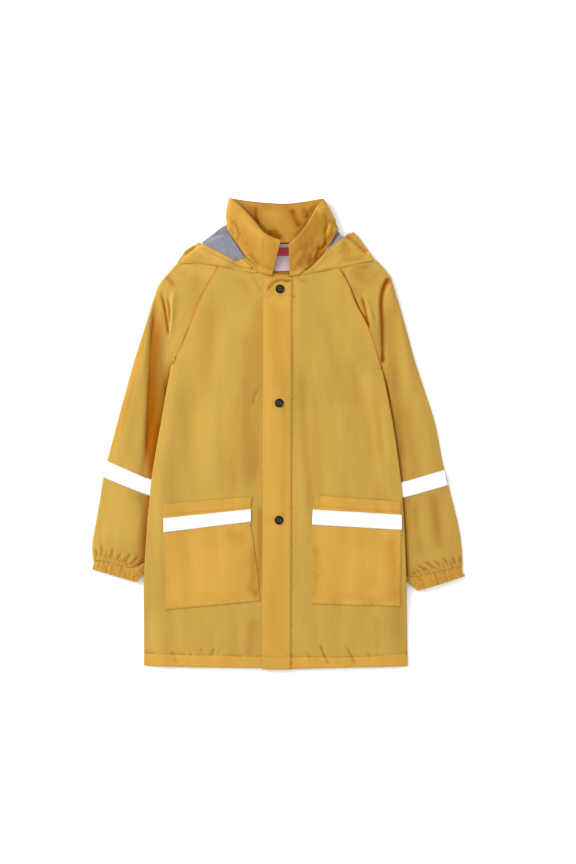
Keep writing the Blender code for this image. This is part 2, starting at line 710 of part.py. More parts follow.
def make_sleeve(side, rows, body_rows, cuff):
    plan = sleeve_plan(rows, body_rows)
    sign = -1 if side == "right" else 1
    rings = []
    for number, line in enumerate(plan):
        crown = SLEEVE_CROWN * ease(2, 9, number)
        rings.append(tube_ring(line, crown, insets=fold_insets(plan, number, sign)))
    seam_sag, hem_sag = cuff["sag"]
    inner, outer = plan[-1][0], plan[-1][-1]
    shares = [(p - inner).length / (outer - inner).length for p in plan[-1]]
    plan[-1] = sagged(inner, outer, seam_sag, shares)
    rings[-1] = tube_ring(plan[-1], SLEEVE_CROWN)
    tube(f"sleeve_{side}", rings, YELLOW)

    halves = [(a + b) / 2 for a, b in zip(shares, shares[1:])]
    shares = sorted(shares + halves)
    mids = [a.lerp(b, 0.5) for a, b in zip(plan[-1], plan[-1][1:])]
    top = [p for pair in zip(plan[-1], mids) for p in pair] + [plan[-1][-1]]
    top = [p + Vector((0, -SEAM)) for p in top]
    inner = Vector((inner.x, cuff["inner_y"]))
    outer = Vector((cuff["outer_x"], cuff["outer_y"]))
    bottom = sagged(inner, outer, hem_sag, shares)
    rings = []
    for step in range(CUFF_ROWS + 1):
        v = step / CUFF_ROWS
        line = [a.lerp(b, v) for a, b in zip(top, bottom)]
        middle = line[0].lerp(line[-1], 0.5)
        squeeze = CUFF_SQUEEZE * math.sin(math.pi * v)
        line = [p + (middle - p) * squeeze for p in line]
        rings.append(tube_ring(line, SLEEVE_CROWN * 0.7, CUFF_GATHER))
    tube(f"cuff_{side}", rings, DEEP_YELLOW)

    band = []
    for number in range(SLEEVE_TAPE_ROWS[0], SLEEVE_TAPE_ROWS[1] + 1):
        outer_loop = tube_ring(plan[number], SLEEVE_CROWN)[0]
        upper = outer_loop[len(plan[number]) :][::-1]
        band.append([p + Vector((0, 0, LIFT)) for p in upper[2:]])
    panel(f"sleeve_tape_{side}", band, TAPE, WHITE)


# ---------------------------------------------------------------- hood, collar, label
def make_hood_back():
    bm = bmesh.new()
    face = bm.faces.new([bm.verts.new((x, y, 0)) for x, y in HOOD_OUTLINE])
    raised = bmesh.ops.extrude_face_region(bm, geom=[face], use_keep_orig=True)
    verts = [g for g in raised["geom"] if isinstance(g, bmesh.types.BMVert)]
    bmesh.ops.translate(bm, verts=verts, vec=(0, 0, HOOD_THICK))
    top = [e for e in bm.edges if all(v.co.z > HOOD_THICK / 2 for v in e.verts)]
    bmesh.ops.bevel(bm, geom=top, offset=1.2, segments=2, affect="EDGES")
    build_mesh("hood_back", bm, YELLOW)


def lining_level(x, y):
    return cover(x, y) + LIFT


def strips(rows, cells):
    return [
        [(mix(ax, bx, k / cells), mix(ay, by, k / cells)) for k in range(cells + 1)]
        for ax, ay, bx, by in rows
    ]


def make_hood_side(side, rows, bow):
    start = [rows[0][:2], *bow, rows[0][2:]]
    grid = []
    for number, (lower_x, lower_y, upper_x, upper_y) in enumerate(rows):
        lower, upper = Vector((lower_x, lower_y)), Vector((upper_x, upper_y))
        fade = max(0.0, 1 - number / HOOD_BOW_ROWS) ** 0.5
        line = []
        for k in range(HOOD_CELLS + 1):
            t = k / HOOD_CELLS
            swell = point_on(start, t) - Vector(start[0]).lerp(Vector(start[-1]), t)
            p = lower.lerp(upper, t) + swell * fade
            turned = max(ease(-1, 2, number), ease(0.7, 0.95, t))
            on_lining = (TAPE + NECK_LIFT) * ease(0, 0.3, t)
            z = mix(HOOD_THICK + LIFT, cover(p.x, p.y) + LIFT + on_lining, turned)
            line.append(Vector((p.x, p.y, z)))
        grid.append(line)
    panel(f"hood_{side}", grid, DOUBLE, YELLOW)


def make_collar():
    """The collar as a flattened ring: its outer skin, thickened inwards."""
    bm = bmesh.new()
    grid = []
    for seam_x, seam_y, edge_x, edge_y, layer in COLLAR_ROWS:
        line = []
        for k in range(COLLAR_CELLS + 1):
            h = k / COLLAR_CELLS
            x, y = mix(seam_x, edge_x, h), mix(seam_y, edge_y, h)
            folded = 1 - abs(2 * layer - 1)
            x += math.copysign(COLLAR_MID_BOW, x) * folded * math.sin(math.pi * h)
            low = lining_level(x, y) + TAPE + NECK_LIFT
            gap = mix(COLLAR_BASE_GAP, COLLAR_EDGE_GAP, h)
            high = low + 2 * DOUBLE + gap
            line.append(Vector((x, y, mix(low, high, layer))))
        grid.append(line)
    sheet_of(bm, grid)
    made = build_mesh("collar", bm, DEEP_YELLOW)
    wall = made.modifiers.new("wall", "SOLIDIFY")
    wall.thickness = DOUBLE * MM
    wall.offset = -1


def make_hood_and_collar():
    make_hood_back()
    panel("hood_lining", raise_by(strips(LINING_ROWS, LINING_CELLS), lining_level), TAPE, GREY)
    panel("hood_facing", raise_by(strips(FACING_ROWS, 2), lining_level), TAPE, YELLOW)
    make_hood_side("right", RIGHT_HOOD_ROWS, RIGHT_HOOD_BOW)
    make_hood_side("left", LEFT_HOOD_ROWS, LEFT_HOOD_BOW)
    make_collar()
    (x0, x1), (y0, y1) = LABEL["x"], LABEL["y"]
    grid = [[(mix(x0, x1, u / 2), y) for u in range(3)] for y in (y1, mix(y0, y1, 0.5), y0)]
    panel("neck_label", raise_by(grid, back_level, CLOTH + LIFT), TAPE, WHITE)


for old in list(bpy.data.objects):
    bpy.data.objects.remove(old, do_unlink=True)
coat = bpy.data.collections.new("kids_raincoat")
bpy.context.scene.collection.children.link(coat)

make_body()
make_placket()
make_sleeve("right", RIGHT_SLEEVE_ROWS, RIGHT_FRONT_ROWS, RIGHT_CUFF)
make_sleeve("left", LEFT_SLEEVE_ROWS, LEFT_FRONT_ROWS, LEFT_CUFF)
make_hood_and_collar()
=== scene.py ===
# %% [markdown]
# # A child's hooded raincoat, laid flat
#
# The coat lies on its back with its front up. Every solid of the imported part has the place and
# the main form of one sewn piece, in facets. Here each piece gets its cloth: a fine grid laid
# over its solid, rounded where the cloth turns over, with folds, puckers, seams and stitches.
# Lengths are in millimetres until a mesh is made. +X is the wearer's left, +Y runs from the hem
# to the collar, and +Z is up.

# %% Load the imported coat
import math

import bmesh
import bpy
import numpy as np
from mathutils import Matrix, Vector
from mathutils.bvhtree import BVHTree


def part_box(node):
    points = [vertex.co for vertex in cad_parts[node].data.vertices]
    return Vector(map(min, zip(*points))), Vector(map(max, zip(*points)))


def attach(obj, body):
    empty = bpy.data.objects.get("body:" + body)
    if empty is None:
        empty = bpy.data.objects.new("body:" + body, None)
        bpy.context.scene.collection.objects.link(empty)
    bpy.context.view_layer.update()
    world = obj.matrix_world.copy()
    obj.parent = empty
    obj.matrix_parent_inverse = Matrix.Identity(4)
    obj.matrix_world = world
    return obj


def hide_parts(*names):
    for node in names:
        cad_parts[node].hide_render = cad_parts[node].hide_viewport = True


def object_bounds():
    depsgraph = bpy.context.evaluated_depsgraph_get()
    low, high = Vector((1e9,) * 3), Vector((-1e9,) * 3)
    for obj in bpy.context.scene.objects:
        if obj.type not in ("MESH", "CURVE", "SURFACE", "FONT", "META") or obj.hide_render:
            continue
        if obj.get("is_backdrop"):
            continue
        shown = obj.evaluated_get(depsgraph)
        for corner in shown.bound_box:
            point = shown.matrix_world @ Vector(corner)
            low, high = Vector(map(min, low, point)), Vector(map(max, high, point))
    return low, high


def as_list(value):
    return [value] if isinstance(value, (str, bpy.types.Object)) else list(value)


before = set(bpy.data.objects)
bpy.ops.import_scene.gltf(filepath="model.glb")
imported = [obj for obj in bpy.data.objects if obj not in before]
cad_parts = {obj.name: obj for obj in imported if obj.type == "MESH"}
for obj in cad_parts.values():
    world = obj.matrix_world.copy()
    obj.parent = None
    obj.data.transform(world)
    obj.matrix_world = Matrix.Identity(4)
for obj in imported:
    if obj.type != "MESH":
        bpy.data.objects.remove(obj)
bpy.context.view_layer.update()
MM = 0.001

# %% [markdown]
# ## Reading a solid
#
# A solid's uppermost skin says where the cloth lies. Its faces that look up are gathered into
# islands, and the highest island is that skin: on a flattened tube the other island is the
# inside of the lower layer. The island's border, walked round counter-clockwise, is the piece's
# outline, and a search tree of its faces answers how high the cloth is at any place.


# %% The upper skin of a node, and its outline
def merged(node):
    """The node's faces, joined at their corners, in millimetres."""
    bm = bmesh.new()
    bm.from_mesh(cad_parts[node].data)
    bmesh.ops.remove_doubles(bm, verts=bm.verts, dist=1e-5)
    bmesh.ops.scale(bm, vec=(1 / MM,) * 3, verts=bm.verts)
    bm.normal_update()
    return bm


def islands_facing(bm, sign):
    """The faces that look up (sign 1) or down (-1), in groups that hang together."""
    left = {f for f in bm.faces if f.normal.z * sign > 0.3}
    found = []
    while left:
        todo, island = [left.pop()], []
        while todo:
            face = todo.pop()
            island.append(face)
            for edge in face.edges:
                for other in edge.link_faces:
                    if other in left:
                        left.discard(other)
                        todo.append(other)
        found.append(island)
    return found


def height_of(island):
    area = sum(f.calc_area() for f in island)
    return sum(f.calc_center_median().z * f.calc_area() for f in island) / area


def tree_of(island):
    """A search tree of an island's faces."""
    points, faces = [], []
    for face in island:
        faces.append(range(len(points), len(points) + len(face.verts)))
        points += [v.co.copy() for v in face.verts]
    return BVHTree.FromPolygons(points, [list(f) for f in faces])


def outline_of(island):
    """The longest border of an island, in plan, counter-clockwise."""
    inside = set(island)
    ways = {}
    for face in island:
        for loop in face.loops:
            if sum(f in inside for f in loop.edge.link_faces) == 1:
                ways.setdefault(loop.vert, []).append(loop.link_loop_next.vert)
    best = []
    while ways:
        vert, walk = next(iter(ways)), []
        while vert in ways:
            following = ways[vert].pop()
            if not ways[vert]:
                del ways[vert]
            walk.append(vert.co.xy.copy())
            vert = following
        best = max(best, walk, key=len)
    line = np.array(best)
    x, y = line[:, 0], line[:, 1]
    turning = (x * np.roll(y, -1) - np.roll(x, -1) * y).sum()
    return line if turning > 0 else line[::-1]


# %% [markdown]
# ## Curves in plan
#
# The outlines have a corner every few centimetres. A smooth curve through those corners gives
# the cut its real flow. The same small tools measure how far each point of a grid is from a
# seam or a fold, and on which side of it.


# %% Curves
def ease(start, end, value):
    """0 before start, 1 after end, and a smooth step between them."""
    t = np.clip((np.asarray(value, float) - start) / (end - start), 0, 1)
    return t * t * (3 - 2 * t)


def bell(distance, width):
    """1 at no distance, falling off smoothly over a width to both sides."""
    return np.exp(-((distance / width) ** 2))


def quarter_round(gap, reach):
    """How far up a quarter circle is: 0 at its edge, 1 from its reach on."""
    return np.sqrt(1 - (1 - np.clip(gap / reach, 0, 1)) ** 2)


def lengths_along(line):
    return np.concatenate([[0], np.cumsum(np.linalg.norm(np.diff(line, axis=0), axis=1))])


SHARP = 40.0  # a curve keeps its corners where it turns by more than so many degrees
CRISP = 16.0  # the same for the fronts and the sleeves


def smooth_curve(points, parts=8, sharp=SHARP):
    """A curve through the points that turns smoothly, but for its sharp corners."""
    p = np.asarray(points, float)
    if len(p) < 3:
        return p
    way = np.diff(p[:, :2], axis=0)
    turn = np.diff(np.unwrap(np.arctan2(way[:, 1], way[:, 0])))
    corners = np.flatnonzero(np.abs(turn) > math.radians(sharp)) + 1
    if len(corners):
        bounds = [0, *corners, len(p) - 1]
        runs = [smooth_curve(p[i : j + 1], parts, sharp) for i, j in zip(bounds, bounds[1:])]
        return np.vstack([runs[0], *(run[1:] for run in runs[1:])])
    slope = np.empty_like(p)
    step = np.maximum(np.linalg.norm(np.diff(p, axis=0), axis=1), 1e-6)[:, None]
    way = np.diff(p, axis=0) / step
    slope[1:-1] = (way[:-1] * step[1:] + way[1:] * step[:-1]) / (step[1:] + step[:-1])
    slope[0], slope[-1] = way[0], way[-1]
    made = [p[:1]]
    for k in range(len(p) - 1):
        t = np.linspace(0, 1, parts + 1)[1:, None]
        a, b, ta, tb = p[k], p[k + 1], slope[k] * step[k], slope[k + 1] * step[k]
        made.append(
            (2 * t**3 - 3 * t**2 + 1) * a
            + (t**3 - 2 * t**2 + t) * ta
            + (3 * t**2 - 2 * t**3) * b
            + (t**3 - t**2) * tb
        )
    return np.vstack(made)


def at(line, share):
    """The points at these shares of a line's length."""
    along = lengths_along(line)
    where = np.asarray(share) * along[-1]
    return np.stack([np.interp(where, along, line[:, k]) for k in range(line.shape[1])], axis=-1)


def nearest(x, y, line):
    """How far each point is from a line, on which side (1 is left), and how far along it."""
    best, side, along, done = np.full(x.shape, np.inf), np.zeros(x.shape), np.zeros(x.shape), 0.0
    for (ax, ay), (bx, by) in zip(line[:, :2], line[1:, :2]):
        dx, dy = bx - ax, by - ay
        length = math.hypot(dx, dy)
        if length < 1e-6:
            continue
        t = np.clip(((x - ax) * dx + (y - ay) * dy) / length**2, 0, 1)
        gap = np.hypot(x - ax - t * dx, y - ay - t * dy)
        closer = gap < best
        best = np.where(closer, gap, best)
        side = np.where(closer, np.sign(dx * (y - ay) - dy * (x - ax)), side)
        along = np.where(closer, done + t * length, along)
        done += length
    return best, side, along


def inset(line, distance):
    """A line moved to its left."""
    way = np.gradient(line, axis=0)
    way /= np.maximum(np.linalg.norm(way, axis=1), 1e-9)[:, None]
    return line + np.stack([-way[:, 1], way[:, 0]], axis=1) * distance


# %% [markdown]
# ## A grid over a piece
#
# A cut piece has four sides. A grid between them (a Coons patch) follows all four, so its rows
# run with the seams as a weaver's threads would. The first and last few rows and columns lie
# close together, because that is where the cloth turns over and catches the light.

# %% Grids
CELL = 2.5  # size of a grid's cells
NEAR = np.array([0.0, 0.4, 1.0, 1.8])  # the rows nearest an edge, by their distance from it
SHORT = 12.0  # on a side shorter than this, those rows move closer to the edge
ROUNDING = 20  # how many times a solid's heights are averaged, to round off its facets
FAR = 100.0  # from so far above or below the coat its heights are read
MID = 5.0  # a height in the middle of the coat


def stations(length, count):
    """Shares along a length: close together at both ends, and count even cells between them."""
    ends = NEAR * min(1.0, length / SHORT) / length
    middle = np.linspace(ends[-1], 1 - ends[-1], count + 1)
    return np.concatenate([ends[:-1], middle, 1 - ends[-2::-1]])


def corners_of(outline):
    """The four corners of a piece that is about square to the axes, from its top left one."""
    x, y = outline[:, 0], outline[:, 1]
    return [outline[np.argmax(way)] for way in (y - x, y + x, x - y, -x - y)]


def grown(outline, distance):
    """A closed outline moved outwards."""
    closed = np.vstack([outline[-1:], outline, outline[:1]])
    return inset(closed, -distance)[1:-1]


def moved(outline, moves):
    """An outline with some of its corners brought to a better place, from (corner, place) pairs."""
    outline = outline.copy()
    for corner, place in moves:
        outline[np.linalg.norm(outline - corner, axis=1).argmin()] = place
    return outline


def sides_of(outline, corners, sharp=SHARP):
    """The four sides, each walked counter-clockwise: left, bottom, right and top."""
    a, b, c, d = (int(np.linalg.norm(outline - p, axis=1).argmin()) for p in corners)
    sides = {}
    for name, start, stop in (("left", a, d), ("bottom", d, c), ("right", c, b), ("top", b, a)):
        count = (stop - start) % len(outline) + 1
        sides[name] = smooth_curve(outline[(start + np.arange(count)) % len(outline)], 8, sharp)
    return sides


def patch(sides, cell=CELL):
    """A grid of points in plan between four sides."""
    left, right = sides["left"], sides["right"][::-1]
    top, bottom = sides["top"][::-1], sides["bottom"]
    down = max(lengths_along(left)[-1], lengths_along(right)[-1])
    over = max(lengths_along(top)[-1], lengths_along(bottom)[-1])
    v = stations(down, max(2, round(down / cell)))
    starts, stops = at(left, v), at(right, v)
    widths = np.maximum(np.linalg.norm(stops - starts, axis=1), 1.0)
    u = np.stack([stations(w, max(2, round(over / cell))) for w in widths])
    uu, vv = u[..., None], v[:, None, None]
    blend = (1 - vv) * at(top, u) + vv * at(bottom, u)
    blend += (1 - uu) * starts[:, None] + uu * stops[:, None]
    blend -= (1 - uu) * (1 - vv) * top[0] + uu * (1 - vv) * top[-1]
    blend -= uu * vv * bottom[-1] + (1 - uu) * vv * bottom[0]
    return blend


def blur(z, times):
    for _ in range(times):
        z = np.pad(z, 1, mode="edge")
        z = (z[:-2] + 2 * z[1:-1] + z[2:]) / 4
        z = (z[:, :-2] + 2 * z[:, 1:-1] + z[:, 2:]) / 4
    return z


def height_at(tree, x, y, sign=1):
    """The height at which a line straight down (sign 1) or up (-1) meets the faces, if any."""
    hit = tree.ray_cast(Vector((x, y, FAR * sign)), Vector((0, 0, -sign)))[0]
    return None if hit is None else hit.z


def heights_over(tree, plan, sign=1, beside=lambda x, y: 0.0):
    """The height at each point of a grid in plan, and another one where nothing is met."""
    z = np.empty(plan.shape[:2])
    for index in np.ndindex(z.shape):
        x, y = (float(value) for value in plan[index])
        height = height_at(tree, x, y, sign)
        z[index] = beside(x, y) if height is None else height
    return z


def levels(tree, grid, sign=1, times=ROUNDING, clear=False):
    """The heights of a skin over a grid, with its facets rounded off, and if need be clear of it."""
    near = len(NEAR) - 1
    inner = grid[near:-near, near:-near]
    z = heights_over(tree, inner, sign, lambda x, y: tree.find_nearest(Vector((x, y, MID)))[0].z)
    smooth = blur(z, times)
    if clear:
        smooth = blur(np.maximum(smooth, z), 1)
    return np.pad(smooth, near, mode="edge")


def cloth_below(names):
    """A search tree of finished pieces, in millimetres."""
    points, faces = [], []
    for name in names:
        mesh = made[name]["object"].data
        start = len(points)
        points += [v.co / MM for v in mesh.vertices]
        faces += [[start + k for k in f.vertices] for f in mesh.polygons]
    return BVHTree.FromPolygons(points, faces)


# %% [markdown]
# ## Folds and puckers
#
# Thin coated nylon keeps the creases of how it was folded and hung. Each is a soft trough or
# ridge along a curve, often steeper on one side. Long seams draw the cloth together, so it
# stands in small uneven waves beside them, and gathers stand in deeper ones above elastic.


# %% Creases
def ripple(along, pitch, seed):
    """An uneven wave between about -1 and 1: sines whose lengths don't match."""
    turns = np.random.default_rng(seed).uniform(0, 2 * math.pi, 4)
    parts = zip((0.5, 0.35, 0.25, 0.2), (1.0, 1.63, 0.61, 2.9), turns)
    return sum(size * np.sin(2 * math.pi * along / (pitch * by) + turn) for size, by, turn in parts)


def creases(x, y, rows):
    """The height of a table of folds: its path, its height, its width to each side, its fading."""
    total = np.zeros(x.shape)
    for path, height, left, right, fade in rows:
        line = smooth_curve(path, 5)
        gap, side, along = nearest(x, y, line)
        share = along / lengths_along(line)[-1]
        width = np.where(side > 0, left, right)
        taper = ease(0, fade, share) * ease(0, fade, 1 - share)
        total += height * taper * bell(gap, width)
    return total


def puckers(x, y, line, height, pitch, reach, slant, seed):
    """Small waves that stand square or at a slant to a seam and die out away from it."""
    gap, side, along = nearest(x, y, line)
    gate = ease(-0.5, 0.7, ripple(along, pitch * 5.3, seed + 1))
    return height * gate * np.exp(-gap / reach) * ripple(along + slant * gap, pitch, seed)


def drift(x, y, height, seed):
    """Wide shallow waves, longer along the coat than across it."""
    random = np.random.default_rng(seed)
    total = np.zeros(x.shape)
    for _ in range(7):
        across, along = random.uniform(38, 95), random.uniform(150, 420)
        turn = random.uniform(0, 2 * math.pi)
        tilt = random.choice((-1, 1))
        total += np.sin(2 * math.pi * (x / across + tilt * y / along) + turn)
    return height * total / 7**0.5


# %% [markdown]
# ## Making the cloth
#
# The grid's points become the cloth's outer face. Solidify then gives it its wall, inwards, as
# for any thin shell. Three numbers are kept at each point for the finish: how far the point lies
# in a trough, where the finish paints shade; how far the cloth there is in two layers; and the
# painted light and shade that the tables and the turned edges give it.

# %% Cloth meshes
WALL = 0.9  # one layer of cloth
DOUBLE_WALL = 1.4  # two layers
TAPE_WALL = 0.6
FOLD_SHADE_DEPTH = 0.8  # a point this far below its surroundings is fully in a trough, and gets the full painted shade of a fold
EDGE = (0.7, 0.3)  # how far in from an edge its rounding starts, and how deep it goes
EDGE_SHADE, EDGE_SHADE_WIDTH = 0.4, 0.9  # painted shade along the cloth's turned edges: how deep, and how far in
GROW = 0.5  # the solids are a little apart at their seams, and the cloth closes that
made = {}


def new_object(name, data):
    thing = bpy.data.objects.new(name, data)
    bpy.context.scene.collection.objects.link(thing)
    return thing


def grid_faces(rows, columns, closed=False):
    r, c = np.mgrid[0 : rows - 1, 0 : columns if closed else columns - 1]
    n = (c + 1) % columns
    corners = (r * columns + c, (r + 1) * columns + c, (r + 1) * columns + n, r * columns + n)
    return np.stack(corners, axis=-1).reshape(-1, 4)


# painted shade in folds: how far each point lies below its surroundings, which the finish paints
# darker and more orange
def fold_shade_of(z):
    return np.clip((blur(z, 14) - z) / FOLD_SHADE_DEPTH, 0, 1)


def cloth_object(name, points, faces, wall, marks):
    """A smooth sheet from points in millimetres, with its wall and its marks for the finish."""
    mesh = bpy.data.meshes.new(name)
    mesh.from_pydata((points.reshape(-1, 3) * MM).tolist(), [], faces.tolist())
    for key, value in marks.items():
        attribute = mesh.attributes.new(key, "FLOAT", "POINT")
        attribute.data.foreach_set("value", np.ravel(value).astype(np.float32))
    sheet = new_object(name, mesh)
    bpy.ops.object.select_all(action="DESELECT")
    bpy.context.view_layer.objects.active = sheet
    sheet.select_set(True)
    shell = sheet.modifiers.new("wall", "SOLIDIFY")
    shell.thickness, shell.offset = wall * MM, -1
    bpy.ops.object.modifier_apply(modifier=shell.name)
    bpy.ops.object.shade_smooth()
    for vertex in mesh.vertices:
        vertex.co.z = max(vertex.co.z, 0.0)  # flat where it lies on the ground
    made[name] = {"object": sheet}
    return sheet


def declare(piece, node, slot, flat, area, rests_on=()):
    """Hang the piece from the root, hide the solid it was cut from, and print its cut size."""
    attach(piece, "root")
    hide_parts(node)
    length, on = flat[1] * MM, list(rests_on)
    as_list(on)
    print(f"{piece.name:24s} cut {flat[0]:.0f} by {flat[1]:.0f} mm, {len(piece.data.polygons)} faces")


def area_of(grid):
    """The area in plan of a grid, in square millimetres."""
    p, q = grid[1:, 1:] - grid[:-1, :-1], grid[1:, :-1] - grid[:-1, 1:]
    return float(np.abs(p[..., 0] * q[..., 1] - p[..., 1] * q[..., 0]).sum() / 2)


START_RUN = 12.0  # a roll that starts below some place sets in over so far to both sides of it


def roll_down(grid, z, sides, rolls):
    """Lower the cloth towards its sides. The wider roll of a side may start below some place."""
    for name, (reach, drop, *start) in rolls.items():
        gap = nearest(grid[..., 0], grid[..., 1], sides[name])[0]
        there = ease(start[0] + START_RUN, start[0] - START_RUN, grid[..., 1]) if start else 1.0
        for wide, deep in (EDGE, (reach, (drop - EDGE[1]) * there)):
            z = z - deep * (1 - quarter_round(gap, wide))
    return z


def shaped(sides, new_sides):
    """The sides with some of them replaced, and the ends of their neighbours brought to them."""
    order = ("left", "bottom", "right", "top")
    for name, line in new_sides.items():
        k = order.index(name)
        line = smooth_curve(line)
        before, after = sides[order[k - 1]].copy(), sides[order[(k + 1) % 4]].copy()
        before[-1], after[0] = line[0], line[-1]
        sides.update({name: line, order[k - 1]: before, order[(k + 1) % 4]: after})
    return sides


def add_panel(
    node, slot, wall, form, corners=None, rolls=None, doubled=1.0, on=(), cell=CELL, lift=None,
    light_and_shade=(), grow=0.0, new_sides=None, moves=(), sharp=SHARP, edge_shade=EDGE_SHADE,
):
    """One layer of cloth over a node. The form adds its folds to the height of each point. With a
    lift it lies that far above the finished pieces it is on, and takes its folds from them."""
    bm = merged(node)
    island = max(islands_facing(bm, 1), key=height_of)
    outline, tree = outline_of(island), tree_of(island)
    outline = grown(moved(outline, moves), grow)
    sides = sides_of(outline, corners_of(outline) if corners is None else np.array(corners), sharp)
    sides = shaped(sides, new_sides or {})
    grid = patch(sides, cell)
    x, y = grid[..., 0], grid[..., 1]
    if lift is not None:
        tree = cloth_below(on)
    z = levels(tree, grid) if lift is None else levels(tree, grid, times=4, clear=True)
    z += form(x, y, sides) + (lift or 0.0)
    marks = {"hollow": fold_shade_of(z), "doubled": doubled(x, y) if callable(doubled) else x * 0 + doubled}
    gap = np.minimum.reduce([nearest(x, y, line)[0] for line in sides.values()])
    # painted light and shade: the rows of the piece's table, and painted shade along its edges
    marks["shade"] = np.clip(creases(x, y, light_and_shade) + edge_shade * bell(gap, EDGE_SHADE_WIDTH), -1, 1)
    z = roll_down(grid, z, sides, rolls or {name: EDGE for name in sides})
    bm.free()
    points = np.dstack([grid, z])
    piece = cloth_object(node + "_cloth", points, grid_faces(*z.shape), wall, marks)
    made[piece.name]["sides"] = sides
    low, high = grid.reshape(-1, 2).min(0), grid.reshape(-1, 2).max(0)
    declare(piece, node, slot, high - low, area_of(grid), rests_on=on)


FOLD_TOP, FOLD_BOTTOM = 2.6, 1.4  # how far in from a fold a tube's two layers start to turn
LEAST_AIR = 0.15  # the least space between its layers
ON_GROUND = 0.4  # what is lower than this lies on the ground


def add_tube(node, slot, wall, form, corners, new_sides, tone, cell, doubled=0.0, moves=()):
    """A flattened tube over a node: an upper and a lower layer that turn over at both folds."""
    bm = merged(node)
    upper = max(islands_facing(bm, 1), key=height_of)
    lower = min(islands_facing(bm, -1), key=height_of)
    outline = grown(moved(outline_of(upper), moves), GROW)
    sides = shaped(sides_of(outline, np.array(corners), CRISP), new_sides)
    grid = patch(sides, cell)
    x, y = grid[..., 0], grid[..., 1]
    top = levels(tree_of(upper), grid) + form(x, y, sides)
    bottom = levels(tree_of(lower), grid, -1)
    bottom = np.where(bottom < ON_GROUND, 0.0, bottom)
    bm.free()
    # painted light and shade from the tone: all of it on the upper layer, half of it on the lower one
    hollow, shade = fold_shade_of(top), np.clip(tone(x, y), -1, 1)
    gap = np.minimum(*(nearest(x, y, sides[name])[0] for name in ("left", "right")))
    gap[:, [0, -1]] = 0
    middle = (np.maximum(top, bottom + 2 * wall) + bottom) / 2
    top = np.maximum(top, bottom + 2 * wall + LEAST_AIR)
    top = middle + (top - middle) * quarter_round(gap, FOLD_TOP)
    bottom = middle + (bottom - middle) * quarter_round(gap, FOLD_BOTTOM)

    def all_round(above, below):
        """The upper layer's values, and the lower one's from the right fold back to the left."""
        return np.concatenate([above, below[:, -2:0:-1]], axis=1)

    points = all_round(np.dstack([grid, top]), np.dstack([grid, bottom]))
    marks = {"hollow": all_round(hollow, hollow * 0), "shade": all_round(shade, shade * 0.5)}
    marks["doubled"] = marks["hollow"] * 0 + doubled
    faces = grid_faces(*points.shape[:2], closed=True)
    piece = cloth_object(node + "_cloth", points, faces, wall, marks)
    made[piece.name]["sides"] = sides
    down = max(lengths_along(sides[name])[-1] for name in ("left", "right"))
    area = 2 * area_of(grid)
    around = max(area / down, 2 * np.ptp(x[0]))
    declare(piece, node, slot, (around, down), area, rests_on=("floor",))


# %% [markdown]
# ## The body
#
# The fronts hang from the neck in long soft waves. Beside the placket and above the hem the
# stitching draws them together. The side edges turn over onto the back. The folds here are the
# ones of the whole body: the pockets, the tapes and the placket lie on the fronts, so they take
# the same folds and stay clear of them.

# %% Seams and folds of the body
RAGLANS = (
    np.array([(-67.0, 288.0), (-91.0, 249.0), (-115.0, 206.0), (-130.0, 169.5), (-147.5, 126.0),
              (-159.0, 104.0)]),
    np.array([(74.0, 278.5), (92.5, 247.0), (116.0, 197.0), (135.5, 159.0), (149.0, 119.0),
              (156.0, 95.5)]),
)
# painted shade along both sides of the raglan seams
RAGLAN_SHADE = tuple((line, 0.3, 1.6, 1.6, 0.02) for line in RAGLANS)
HEM_LINE = np.array([(-201.0, -329.0), (0.0, -333.5), (100.0, -334.5), (195.0, -329.5)])
PLACKET_SEAM = np.array([(21.5, 234.0), (19.5, -353.0)])
PLACKET_FREE = np.array([(-21.5, 234.0), (-24.0, -353.0)])
BODY_PUCKERS = (
    # seam, height, spacing, how far they reach from the seam, slant, seed
    (PLACKET_SEAM, 0.42, 11.0, 7.0, 0.7, 11),
    (PLACKET_FREE, 0.22, 13.0, 8.0, -0.8, 12),
    (HEM_LINE, 0.45, 9.0, 5.5, 0.5, 13),
    *((line, 0.22, 10.0, 6.0, 0.6, 20 + seed) for seed, line in enumerate(RAGLANS)),
)
HEM_RISE, HEM_GROOVE = (0.45, 1.6), (0.35, 1.4)  # height and width of the hem's step and its seam
